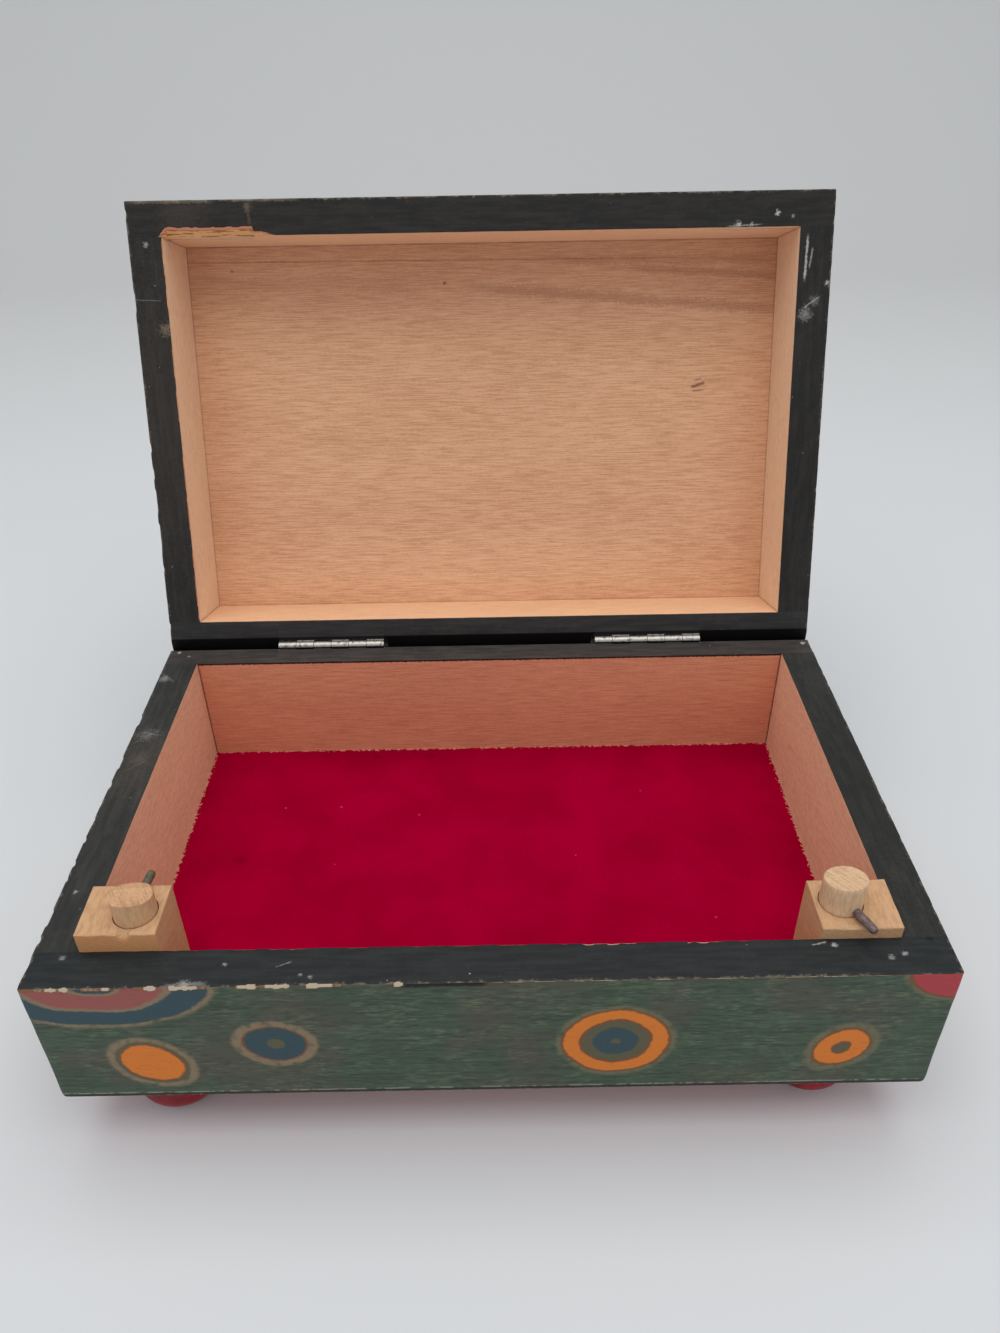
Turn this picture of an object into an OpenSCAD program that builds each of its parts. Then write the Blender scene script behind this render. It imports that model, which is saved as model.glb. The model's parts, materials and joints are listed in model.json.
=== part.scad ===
// Keepsake box with a hinged lid and two hidden turning latches.
// The box stands on four bun feet. Each front foot is the key of a latch: it turns a dowel, and the
// nail in the dowel swings into a slot inside the lid's front wall.
// Origin: under the middle of the open box, lid included, on the plane the feet stand on.
// +X right, +Y rear, +Z up. Each piece is drawn about the middle of the base and then moved into place,
// and the lid is drawn closed and swung open about the hinge axis first.

/* [Box] */
// Width of the box, left to right
box_w = 200; // [180:1:240]
// Depth of the box, front to rear
box_d = 131; // [115:1:170]
// Height of the base walls
base_h = 39.3; // [32:0.1:60]
// Thickness of the base walls
base_wall = 10; // [9.4:0.1:13]
// Thickness of the bottom board between the walls
bottom_t = 3.2; // [2.4:0.1:6]
// Radius of the rounded outer edges, below the base and on top of the lid
edge_r = 2; // [0.5:0.1:3]

/* [Lining] */
// Thickness of the velvet on the floor
lining_t = 0.8; // [0.4:0.1:2]
// Gap between the velvet and the wood around it
lining_gap = 0.3; // [0.1:0.1:1]

/* [Lid] */
// Inside depth of the lid
lid_depth = 23.6; // [16:0.1:40]
// Thickness of the top panel
lid_top_t = 5; // [3:0.1:8]
// How far the lid is open, from closed
lid_angle = 108.9; // [0:0.1:118]
// Gap between the rims when closed
rim_gap = 0.2; // [0.1:0.05:0.5]
// How much thinner the lid's walls are than the base's, which lets the lid pass the lock blocks
lid_ease = 0.4; // [0.3:0.05:1]
// Bevel on the rear edge of the base rim
base_bevel = 2.7; // [2:0.1:4]
// Bevel on the rear edge of the lid rim
lid_bevel = 4.1; // [2.4:0.1:5]

/* [Hinges] */
// Distance between the middles of the two hinges
hinge_spacing = 99.2; // [70:0.1:130]
// Length of a hinge
hinge_len = 33; // [24:0.5:45]
// Knuckles in a hinge, shared by its two leaves
knuckles = 6; // [4:2:8]
// Outside diameter of the barrel
barrel_d = 3; // [2.4:0.1:3.6]
// Diameter of the pin
pin_d = 1.4; // [1:0.1:1.6]
// How far the hinge axis lies in from the rear face
hinge_inset = 1.4; // [1:0.1:2]
// Width of a leaf, from the hinge axis to its inner edge
leaf_w = 7; // [6:0.1:7.4]
// Thickness of a leaf
leaf_t = 0.9; // [0.6:0.05:1.2]
// Running clearance of the pin in the lid's knuckles, on the radius
pin_play = 0.05; // [0.02:0.01:0.1]
// Gap between neighbouring knuckles
knuckle_gap = 0.15; // [0.1:0.05:0.4]
// Room around the barrel, on the radius
barrel_room = 0.3; // [0.2:0.05:0.5]
// Brads in a leaf
brads = 3; // [2:1:4]
// Diameter of a brad's head
brad_head_d = 2; // [1.5:0.1:2.6]
// Thickness of a brad's head
brad_head_t = 0.4; // [0.2:0.05:0.5]
// Diameter of a brad's shank
brad_d = 0.9; // [0.7:0.05:1.2]
// Length of a brad
brad_len = 6; // [4:0.5:12]

/* [Latches] */
// Width of a lock block, left to right
block_w = 17.8; // [17:0.1:24]
// Depth of a lock block, front to rear
block_d = 14.2; // [13.6:0.1:20]
// How far the left lock block stands above the rim
left_block_rise = 5.4; // [2.2:0.1:6]
// How far the right lock block stands above the rim
right_block_rise = 3.2; // [2.2:0.1:6]
// Diameter of the dowels
dowel_d = 9.5; // [8:0.1:9.8]
// Running clearance of a dowel in its bores, on the radius
dowel_play = 0.1; // [0.05:0.01:0.3]
// Distance of a dowel's axis from the side wall
dowel_from_side = 11.8; // [11.4:0.1:12.4]
// Distance of the left dowel's axis from the front wall
left_dowel_from_front = 6.4; // [6.2:0.1:8.4]
// Distance of the right dowel's axis from the front wall
right_dowel_from_front = 7.8; // [7:0.1:8.4]
// How far the left dowel stands above its block, at its axis
left_dowel_rise = 6; // [3.6:0.1:9]
// How far the right dowel stands above its block, at its axis
right_dowel_rise = 7.4; // [3.6:0.1:9]
// Slant of the left dowel's sawn top
left_dowel_slant = 13; // [0:1:20]
// Slant of the right dowel's sawn top
right_dowel_slant = 13; // [0:1:20]
// Diameter of the worn mouth of a block's bore
mouth_d = 10; // [9.8:0.1:11]
// Depth of the worn mouth
mouth_depth = 5; // [2:0.5:10]
// Diameter of the latch nails
nail_d = 2; // [1.4:0.1:2.6]
// Reach of the left nail, from the dowel's axis to its tip
left_nail_reach = 10.7; // [9.6:0.1:11.4]
// Reach of the right nail, from the dowel's axis to its tip
right_nail_reach = 11; // [9.6:0.1:11.4]
// How far a nail runs on past the dowel's axis
nail_tail = 2.6; // [1:0.1:3]
// Gap between a nail and the top of its block
nail_gap = 0.3; // [0.2:0.05:0.8]
// Direction of the left nail, 0 is right and 90 is to the rear
left_nail_dir = 84; // [-180:1:180]
// Direction of the right nail, 0 is right and 90 is to the rear
right_nail_dir = -66; // [-180:1:180]
// Room around a nail in its slot, above, below and beyond its tip
slot_room = 0.8; // [0.4:0.1:1]
// Room beside the nail's swing, at each end of its slot
slot_end_room = 3.4; // [1:0.1:3.6]
// Length of the chip in the left slot's lip
chip_len = 30; // [20:0.5:40]
// Depth of the chip, across the rim
chip_depth = 1.8; // [0.6:0.1:2.6]

/* [Feet] */
// Diameter of the bun feet
foot_d = 23; // [20:0.5:32]
// Height of the bun feet
foot_h = 16; // [13:0.5:24]
// Radius of a foot's rounded edge
foot_edge = 6; // [3:0.5:6.5]
// Depth of a dowel's socket in its foot
socket_depth = 10; // [6:0.5:11]
// Gap above a turning foot
foot_gap = 0.3; // [0.2:0.05:0.6]
// Diameter of a foot screw's shank
screw_d = 3; // [2:0.1:4]
// Diameter of a foot screw's head
screw_head_d = 6; // [5:0.1:8]
// Length of a foot screw
screw_len = 14; // [9:0.5:16]

/* [Hidden] */
$fn = 64;
// Room around a glued or driven piece in its hole
seat_gap = 0.02;
// How far a cut runs past the face it opens
past = 1;

// Heights
floor_z = foot_h;
board_top = floor_z + bottom_t;
rim_z = floor_z + base_h;
lid_rim_z = rim_z + rim_gap;
lid_roof_z = lid_rim_z + lid_depth;
lid_top_z = lid_roof_z + lid_top_t;

// Plan
half_w = box_w / 2;
half_d = box_d / 2;
inside_w = box_w - 2 * base_wall;
inside_d = box_d - 2 * base_wall;
lid_wall = base_wall - lid_ease;
dowel_x = half_w - base_wall - dowel_from_side;

// Hinges
hinge_y = half_d - hinge_inset;
hinge_z = rim_z + rim_gap / 2;
hinge_x = hinge_spacing / 2;
barrel_clear = barrel_d / 2 + barrel_room;

// Where a point of the closed lid lies, front to rear, once the lid is open
function swung_y(y, z) = hinge_y + (y - hinge_y) * cos(lid_angle) + (z - hinge_z) * sin(lid_angle);

// Rearmost point of the open box, on the rounded edges of the lid or on the base, and the middle of it all
lid_edges_y = [for (y = [edge_r - half_d, half_d - edge_r]) swung_y(y, lid_top_z - edge_r) + edge_r];
rearmost = max(half_d, lid_edges_y[0], lid_edges_y[1]);
middle_y = (rearmost - half_d) / 2;

// Knuckles and brads along a hinge
pitch = hinge_len / knuckles;
brad_pitch = hinge_len / brads;
brad_y = hinge_y - (leaf_w + barrel_clear) / 2;

// The two latches, left and right, and what differs between them
left = -1;
right = 1;
function of_side(side, at_left, at_right) = side == left ? at_left : at_right;
function dowel_y(side) =
    of_side(side, left_dowel_from_front, right_dowel_from_front) + base_wall - half_d;
function block_top(side) = rim_z + of_side(side, left_block_rise, right_block_rise);
function nail_z(side) = block_top(side) + nail_gap + nail_d / 2;
function nail_reach(side) = of_side(side, left_nail_reach, right_nail_reach);
function nail_dir(side) = of_side(side, left_nail_dir, right_nail_dir);

// Latch slots: as long as the chord that the nail's tip cuts into the lid's front wall
function slot_reach(side) = dowel_y(side) - (lid_wall - half_d);
slot_h = nail_d + 2 * slot_room;
function slot_half(side) =
    sqrt(pow(nail_reach(side), 2) - pow(slot_reach(side), 2)) + nail_d / 2 + slot_end_room;
function slot_depth(side) = nail_reach(side) - slot_reach(side) + slot_room;
function slot_low(side) = nail_z(side) - slot_h / 2;

painted_black = "#2b2a28";
bare_wood = "#d9b878";
red_paint = "#a01820";
red_velvet = "#8f1420";
steel = "#b9b9b4";

// Moves what is drawn about the middle of the base into the part's own frame
module in_place()
    translate([0, -middle_y, 0])
        children();

// Swings what is drawn for a closed lid to the open place
module on_lid()
    in_place()
        translate([0, hinge_y, hinge_z])
            rotate([-lid_angle, 0, 0])
                translate([0, -hinge_y, -hinge_z])
                    children();

// The same leaf on the lid: turned over about the hinge axis, for parts drawn on the base rim
module turned_over()
    translate([0, 0, 2 * hinge_z])
        mirror([0, 0, 1])
            children();

// A box centred on x, from its low y and z
module slab(x, y, z, size)
    translate([x - size[0] / 2, y, z])
        cube(size);

// What comes off a square edge to round it: the edge lies on the z axis, the wood in +x and +y
module edge_cut(len)
    translate([0, 0, -past])
        linear_extrude(len + 2 * past)
            difference() {
                translate([-past, -past])
                    square(edge_r + past);
                translate([edge_r, edge_r])
                    circle(edge_r);
            }

// Edge cuts along the bottom of the base: the front edge and the two ends of a long wall
module bottom_front_cut()
    translate([-half_w, -half_d, floor_z])
        rotate([90, 0, 90])
            edge_cut(box_w);

module bottom_side_cut()
    translate([-half_w, half_d, floor_z])
        rotate([90, 0, 0])
            edge_cut(box_d);

module bottom_side_cuts()
    for (side = [0, 1])
        mirror([side, 0, 0])
            bottom_side_cut();

// A strip of the rear rim edge to be bevelled away, for a rim that faces up
module rear_bevel(size)
    translate([-half_w - past, half_d, rim_z])
        rotate([-45, 0, 0])
            translate([0, -size, -size / sqrt(2)])
                cube([box_w + 2 * past, 2 * size, 2 * size]);

// Beds for both hinges in a rear rim: a shallow seat for each leaf and a groove for each barrel
module hinge_beds(side_room)
    for (side = [left, right])
        translate([side * hinge_x, 0, 0]) {
            slab(0, hinge_y - leaf_w - side_room, rim_z - leaf_t,
                [hinge_len + 2 * side_room, leaf_w + side_room + hinge_inset + past, leaf_t + past]);
            translate([-hinge_len / 2 - barrel_room, hinge_y, hinge_z])
                rotate([0, 90, 0])
                    cylinder(r = barrel_clear, h = hinge_len + 2 * barrel_room);
            for (n = [0 : brads - 1])
                translate([(n + 0.5) * brad_pitch - hinge_len / 2, brad_y, rim_z - brad_len - seat_gap])
                    cylinder(d = brad_d + 2 * seat_gap, h = brad_len);
        }

// One leaf on a rim that faces up, with every second knuckle from the first one given
module leaf(side, first, bore_r)
    translate([side * hinge_x - hinge_len / 2, 0, 0])
        difference() {
            union() {
                translate([0, hinge_y - leaf_w, rim_z - leaf_t])
                    cube([hinge_len, leaf_w - barrel_clear, leaf_t]);
                for (k = [first : 2 : knuckles - 1])
                    translate([k * pitch + knuckle_gap / 2, hinge_y, 0]) {
                        translate([0, -barrel_clear - seat_gap, rim_z - leaf_t])
                            cube([pitch - knuckle_gap, barrel_clear + seat_gap, leaf_t]);
                        translate([0, 0, hinge_z])
                            rotate([0, 90, 0])
                                cylinder(d = barrel_d, h = pitch - knuckle_gap);
                    }
            }
            translate([-past, hinge_y, hinge_z])
                rotate([0, 90, 0])
                    cylinder(r = bore_r, h = hinge_len + 2 * past);
            for (n = [0 : brads - 1])
                translate([(n + 0.5) * brad_pitch, brad_y, rim_z]) {
                    translate([0, 0, -leaf_t - past])
                        cylinder(d = brad_d + 2 * seat_gap, h = leaf_t + 2 * past);
                    translate([0, 0, -brad_head_t])
                        cylinder(d = brad_head_d + 2 * seat_gap, h = brad_head_t + past);
                }
        }

// The brads of both leaves on a rim that faces up
module leaf_brads()
    for (side = [left, right], n = [0 : brads - 1])
        translate([side * hinge_x + (n + 0.5) * brad_pitch - hinge_len / 2, brad_y, rim_z]) {
            translate([0, 0, -brad_head_t])
                cylinder(d = brad_head_d, h = brad_head_t);
            translate([0, 0, -brad_len])
                cylinder(d = brad_d, h = brad_len);
        }

module hinge_pin(side)
    color(steel)
        in_place()
            translate([side * hinge_x - hinge_len / 2, hinge_y, hinge_z])
                rotate([0, 90, 0])
                    cylinder(d = pin_d, h = hinge_len);

module left_hinge_pin() hinge_pin(left);

module right_hinge_pin() hinge_pin(right);

module left_hinge_base_leaf() color(steel) in_place() leaf(left, 0, pin_d / 2 + seat_gap);

module right_hinge_base_leaf() color(steel) in_place() leaf(right, 0, pin_d / 2 + seat_gap);

module left_hinge_lid_leaf() color(steel) on_lid() turned_over() leaf(left, 1, pin_d / 2 + pin_play);

module right_hinge_lid_leaf() color(steel) on_lid() turned_over() leaf(right, 1, pin_d / 2 + pin_play);

module base_hinge_brads() color(steel) in_place() leaf_brads();

module lid_hinge_brads() color(steel) on_lid() turned_over() leaf_brads();

// Base walls: the front and back run the full width, the sides stand between them
module base_front_wall()
    color(painted_black)
        in_place()
            difference() {
                slab(0, -half_d, floor_z, [box_w, base_wall, base_h]);
                bottom_front_cut();
                bottom_side_cuts();
            }

module base_back_wall()
    color(painted_black)
        in_place()
            difference() {
                slab(0, half_d - base_wall, floor_z, [box_w, base_wall, base_h]);
                mirror([0, 1, 0])
                    bottom_front_cut();
                bottom_side_cuts();
                rear_bevel(base_bevel);
                hinge_beds(seat_gap);
            }

module base_side_wall(side)
    color(painted_black)
        in_place()
            difference() {
                slab(side * (half_w - base_wall / 2), -inside_d / 2, floor_z, [base_wall, inside_d, base_h]);
                bottom_side_cuts();
            }

module base_left_wall() base_side_wall(left);

module base_right_wall() base_side_wall(right);

module bottom_board()
    color(red_paint)
        in_place()
            difference() {
                slab(0, -inside_d / 2, floor_z, [inside_w, inside_d, bottom_t]);
                for (side = [left, right]) {
                    translate([side * dowel_x, dowel_y(side), floor_z - past])
                        cylinder(d = dowel_d + 2 * dowel_play, h = bottom_t + 2 * past);
                    foot_screw(side, seat_gap);
                }
            }

module velvet_lining()
    color(red_velvet)
        in_place()
            translate([0, 0, board_top])
                linear_extrude(lining_t)
                    difference() {
                        square([inside_w - 2 * lining_gap, inside_d - 2 * lining_gap], center = true);
                        for (side = [left, right])
                            translate([side * inside_w / 2, -inside_d / 2])
                                square([2 * (block_w + lining_gap), 2 * (block_d + lining_gap)], center = true);
                    }

// A lock block in a front corner, with the dowel's bore and its worn mouth
module lock_block(side)
    color(bare_wood)
        in_place()
            difference() {
                slab(side * (inside_w - block_w) / 2, -inside_d / 2, board_top,
                    [block_w, block_d, block_top(side) - board_top]);
                translate([side * dowel_x, dowel_y(side), board_top - past])
                    cylinder(d = dowel_d + 2 * dowel_play, h = block_top(side) - board_top + 2 * past);
                translate([side * dowel_x, dowel_y(side), block_top(side) - mouth_depth])
                    cylinder(d1 = dowel_d + 2 * dowel_play, d2 = mouth_d, h = mouth_depth);
            }

module left_lock_block() lock_block(left);

module right_lock_block() lock_block(right);

// A nail through a dowel: the shape of the nail, or of its hole with some room
module latch_nail(side, room)
    translate([side * dowel_x, dowel_y(side), nail_z(side)])
        rotate([0, 0, nail_dir(side)])
            translate([-nail_tail - room, 0, 0])
                rotate([0, 90, 0])
                    cylinder(d = nail_d + 2 * room, h = nail_reach(side) + nail_tail + room);

module left_latch_nail() color(steel) in_place() latch_nail(left, 0);

module right_latch_nail() color(steel) in_place() latch_nail(right, 0);

// A dowel from its socket in the foot to its sawn top, which slopes down to one side
module lock_dowel(side, rise, slant, slope_dir) {
    bottom = foot_h - foot_gap - socket_depth;
    top = block_top(side) + rise;
    color(bare_wood)
        in_place()
            difference() {
                translate([side * dowel_x, dowel_y(side), bottom + seat_gap])
                    cylinder(d = dowel_d, h = top + dowel_d - bottom);
                translate([side * dowel_x, dowel_y(side), top])
                    rotate([0, 0, slope_dir])
                        rotate([0, slant, 0])
                            translate([-2 * dowel_d, -2 * dowel_d, 0])
                                cube(4 * dowel_d);
                latch_nail(side, seat_gap);
            }
}

// Both dowels' tops slope down to the rear, and a little to the inside of the box
module left_lock_dowel() lock_dowel(left, left_dowel_rise, left_dowel_slant, 78);

module right_lock_dowel() lock_dowel(right, right_dowel_rise, right_dowel_slant, 106);

// A bun foot standing on z = 0
module bun(height)
    rotate_extrude() {
        square([foot_d / 2 - foot_edge, height]);
        translate([0, foot_edge])
            square([foot_d / 2, height - 2 * foot_edge]);
        for (end = [foot_edge, height - foot_edge])
            translate([foot_d / 2 - foot_edge, end])
                intersection() {
                    circle(foot_edge);
                    translate([0, -foot_edge])
                        square([foot_edge, 2 * foot_edge]);
                }
    }

// A front foot: it turns under the bottom board and grips the dowel
module lock_foot(side)
    color(red_paint)
        in_place()
            translate([side * dowel_x, dowel_y(side), 0])
                difference() {
                    bun(foot_h - foot_gap);
                    translate([0, 0, foot_h - foot_gap - socket_depth])
                        cylinder(d = dowel_d + 2 * seat_gap, h = socket_depth + past);
                }

module left_lock_foot() lock_foot(left);

module right_lock_foot() lock_foot(right);

// A countersunk screw down through the bottom board into a rear foot, with some room around it
module foot_screw(side, room) {
    cone_h = min(bottom_t, screw_head_d / 2);
    translate([side * dowel_x, -dowel_y(right), board_top]) {
        translate([0, 0, -screw_len - room])
            cylinder(d = screw_d + 2 * room, h = screw_len + room);
        translate([0, 0, -cone_h])
            cylinder(d1 = screw_d + 2 * room, d2 = screw_head_d + 2 * room, h = cone_h);
    }
}

module rear_foot(side)
    color(red_paint)
        in_place()
            difference() {
                translate([side * dowel_x, -dowel_y(right), 0])
                    bun(foot_h);
                foot_screw(side, seat_gap);
            }

module rear_left_foot() rear_foot(left);

module rear_right_foot() rear_foot(right);

module rear_foot_screws()
    color(steel)
        in_place()
            for (side = [left, right])
                foot_screw(side, 0);

// A slot inside the lid's front wall for one nail
module latch_slot(side)
    slab(side * dowel_x, lid_wall - half_d - slot_depth(side), slot_low(side),
        [2 * slot_half(side), slot_depth(side) + past, slot_h]);

// The chip in the left slot's lip: a ragged bite out of the rim's inner edge, from the lid's left wall
module lip_chip()
    translate([lid_wall - half_w, lid_wall - half_d, lid_rim_z - past])
        linear_extrude(slot_low(left) - lid_rim_z + 2 * past)
            polygon([
                [0, past],
                [0, -chip_depth * 0.5],
                [chip_len * 0.1, -chip_depth * 0.8],
                [chip_len * 0.76, -chip_depth],
                [chip_len * 0.84, -chip_depth * 0.5],
                [chip_len, past],
            ]);

module lid_front_wall()
    color(painted_black)
        on_lid()
            difference() {
                slab(0, -half_d, lid_rim_z, [box_w, lid_wall, lid_depth]);
                latch_slot(left);
                latch_slot(right);
                lip_chip();
            }

module lid_back_wall()
    color(painted_black)
        on_lid()
            difference() {
                slab(0, half_d - lid_wall, lid_rim_z, [box_w, lid_wall, lid_depth]);
                turned_over() {
                    rear_bevel(lid_bevel);
                    hinge_beds(seat_gap);
                }
            }

module lid_side_wall(side)
    color(painted_black)
        on_lid()
            slab(side * (half_w - lid_wall / 2), lid_wall - half_d, lid_rim_z,
                [lid_wall, box_d - 2 * lid_wall, lid_depth]);

module lid_left_wall() lid_side_wall(left);

module lid_right_wall() lid_side_wall(right);

// The top panel lies on all four walls, with its upper edges rounded
module lid_top_panel()
    color(painted_black)
        on_lid()
            difference() {
                slab(0, -half_d, lid_roof_z, [box_w, box_d, lid_top_t]);
                translate([0, 0, lid_top_z + floor_z])
                    mirror([0, 0, 1]) {
                        bottom_side_cuts();
                        bottom_front_cut();
                        mirror([0, 1, 0])
                            bottom_front_cut();
                    }
            }

base_front_wall();
base_back_wall();
base_left_wall();
base_right_wall();
bottom_board();
velvet_lining();
left_lock_block();
right_lock_block();
rear_left_foot();
rear_right_foot();
rear_foot_screws();
left_hinge_base_leaf();
right_hinge_base_leaf();
left_hinge_pin();
right_hinge_pin();
base_hinge_brads();
left_lock_dowel();
left_lock_foot();
left_latch_nail();
right_lock_dowel();
right_lock_foot();
right_latch_nail();
lid_front_wall();
lid_back_wall();
lid_left_wall();
lid_right_wall();
lid_top_panel();
left_hinge_lid_leaf();
right_hinge_lid_leaf();
lid_hinge_brads();
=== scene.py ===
"""A painted wooden keepsake box, open, with a velvet floor and two hidden latches in its front corners."""

import json
import math
from typing import NamedTuple

import bpy
import numpy as np
from mathutils import Matrix, Vector


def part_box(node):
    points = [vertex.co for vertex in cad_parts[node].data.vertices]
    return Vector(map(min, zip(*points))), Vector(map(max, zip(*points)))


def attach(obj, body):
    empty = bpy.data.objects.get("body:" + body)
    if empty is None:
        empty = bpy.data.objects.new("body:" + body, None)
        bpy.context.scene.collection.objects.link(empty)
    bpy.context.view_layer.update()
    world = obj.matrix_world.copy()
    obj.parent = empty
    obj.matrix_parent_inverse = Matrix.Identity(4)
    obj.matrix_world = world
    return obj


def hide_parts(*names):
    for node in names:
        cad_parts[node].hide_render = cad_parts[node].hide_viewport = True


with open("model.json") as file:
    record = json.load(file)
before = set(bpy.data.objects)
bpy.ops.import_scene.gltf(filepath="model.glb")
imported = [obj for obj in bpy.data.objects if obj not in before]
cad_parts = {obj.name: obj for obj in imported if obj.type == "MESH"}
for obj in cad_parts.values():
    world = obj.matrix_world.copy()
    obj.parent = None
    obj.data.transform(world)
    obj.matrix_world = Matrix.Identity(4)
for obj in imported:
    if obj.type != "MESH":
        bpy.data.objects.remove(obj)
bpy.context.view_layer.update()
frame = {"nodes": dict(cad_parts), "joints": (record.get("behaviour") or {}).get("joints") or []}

MM = 0.001
SIDES = ("left", "right")

# The box's own coordinates: millimetres from the middle of the base, lid closed
joints = {joint["name"]: joint for joint in frame["joints"]}
hinge_line = Vector(joints["lid_hinge"]["pos_m"])
lid_swing = math.radians(joints["lid_hinge"]["range_deg"][1])
middle_y = (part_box("base_front_wall")[0].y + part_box("base_back_wall")[1].y) / 2
BASE_HOME = Matrix.Translation((0, middle_y, 0))
LID_HOME = (
    Matrix.Translation(hinge_line)
    @ Matrix.Rotation(-lid_swing, 4, "X")
    @ Matrix.Translation(-hinge_line)
    @ BASE_HOME
)


def drawn_points(node, home=BASE_HOME):
    """The corners of a CAD node in the box's own coordinates."""
    back = home.inverted()
    return np.array([back @ vertex.co for vertex in frame["nodes"][node].data.vertices]) / MM


def drawn_box(node, home=BASE_HOME):
    """Lowest and highest corner of a CAD node in the box's own coordinates."""
    points = drawn_points(node, home)
    return points.min(axis=0), points.max(axis=0)


def lock_axis(side):
    """Where a latch's dowel stands, seen from above."""
    return np.array(joints[side + "_lock_turn"]["pos_m"][:2]) / MM - (0, middle_y / MM)


front_low, front_high = drawn_box("base_front_wall")
lid_front_low, lid_front_high = drawn_box("lid_front_wall", LID_HOME)
panel_low, panel_high = drawn_box("lid_top_panel", LID_HOME)
leaf_low, leaf_high = drawn_box("right_hinge_base_leaf")
half_w = front_high[0]
half_d = drawn_box("base_back_wall")[1][1]
floor_z = front_low[2]
rim_z = front_high[2]
base_wall = front_high[1] - front_low[1]
lid_rim_z = lid_front_low[2]
lid_roof_z = panel_low[2]
lid_top_z = panel_high[2]
lid_wall = lid_front_high[1] - lid_front_low[1]
box_outer = (half_w, half_d)
base_inner = (half_w - base_wall, half_d - base_wall)
lid_inner = (half_w - lid_wall, half_d - lid_wall)
hinge_y = (hinge_line.y - middle_y) / MM
hinge_z = hinge_line.z / MM

# Grids and rounds
EDGE_LINES = (0, 0.12, 0.28, 0.5, 0.8, 1.2, 2, 3.2)
FRONT_STEP = (0.5, 3, 4)
SIDE_STEP = (3, 0.8, 4)
REAR_STEP = (1, 3, 4)
BLOCK_STEP = (0.5, 0.9, 3)
PANEL_STEP = 2
VELVET_STEP = 1.5
TURNED_SIDES = 64
DOWEL_ROWS = 40
DOWEL_TOP_ROWS = 14
NAIL_SIDES = 20
NAIL_ROWS = 20
SHARP_BEND = math.radians(38)
HAIR = 0.01
TINY = 1e-6

# Shaping and wear
SIDE_BOTTOM_ROUND = 3
FRONT_BOTTOM_ROUND = 1.2
TOP_ROUND = 2
TOP_CORNER_ROUND = 0.7
BASE_BEVEL = (2.7, 2.7)
LID_BEVEL = (4.1, 1.3)
LEAF_SEAT = 0.9
BARREL_ROOM = 1.8
GROOVE_END_ROOM = 0.3
SLOT_ROOM = 0.8
SLOT_END_ROOM = 3.4
CHIP_X = (-91.6, -57.6)
CHIP_DEPTH = 2.6
CHIP_HEIGHT = 3.0
CHIP_LINES = np.arange(0, 3.2, 0.2)
FRONT_CHIPS = (
    (-94.4, -89.2), (-82.2, -80.6), (-73.2, -70.6), (-68.2, -61.2),
    (-53.3, -49.3), (-47.6, -42.5), (-39.1, -33.4), (-20.8, -18.2),
)
BROWN_CHIPS = ((-101, -60), (-54, -42), (-33.5, -31))
INNER_CHIPS = ((-48, -41), (20, 32), (43, 51))
INNER_RUB = ((-72, 62),)
RUBBED_EDGE = ((-1, 88),)
NOTCH_DEPTH = 0.25
LEFT_NOTCH_DEPTH = 0.9
SMEAR_X = (-18.5, -1)
SMEAR_DEPTH = 1.3
SEAT_ROOM = 0.02
NOTCH_ROOM = 0.3
# Slant of each dowel's top and the way it slopes down, in degrees
SAW_CUTS = {"left": (13, 78), "right": (13, 106)}
ROUGH_TOP = {"left": 1.1, "right": 0.15}
BLOCK_CHIPS = {"left": (-79.4, 1.6, 1.1), "right": (70.6, 1.8, 0.9)}
BORE = 4.85
MOUTH = 5.0
MOUTH_DEPTH = 1.0
NAIL_END = 0.8
NAIL_END_ROWS = np.array([0.5, 0.3, 0.15, 0.05, 0])
NAIL_POINT = 0.45
WAVE_COUNT = 1024


def wave(spots, spacing, seed):
    """Smooth random heights from 0 to 1 along a line, one every so many millimetres."""
    heights = np.random.default_rng(seed).random(WAVE_COUNT)
    steps = spots / spacing + WAVE_COUNT / 2
    whole = np.floor(steps).astype(int)
    part = steps - whole
    part = part * part * (3 - 2 * part)
    before = heights[whole % WAVE_COUNT]
    after = heights[(whole + 1) % WAVE_COUNT]
    return before + (after - before) * part


def fade(values, low, high):
    """0 at low, 1 at high and a smooth step between. Low may lie above high."""
    part = np.clip((values - low) / (high - low), 0, 1)
    return part * part * (3 - 2 * part)


def within(along, stretches, soft):
    """1 inside any of the given stretches of a line, fading out at their ends."""
    shares = []
    for low, high in stretches:
        shares.append(fade(along, low - soft, low + soft) * fade(along, high + soft, high - soft))
    return np.max(shares, axis=0)


def cut_lines(low, high, step, extra=()):
    """Grid lines along one axis of a board: close together at both ends, even between, and where asked."""
    fine = np.array(EDGE_LINES)
    inner = high - low - 2 * fine[-1]
    even = np.linspace(low + fine[-1], high - fine[-1], max(1, round(inner / step)) + 1)
    lines = np.round(np.concatenate([low + fine, even, high - fine, extra]), 3)
    return np.unique(lines[(lines > low - MM) & (lines < high + MM)])


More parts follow.
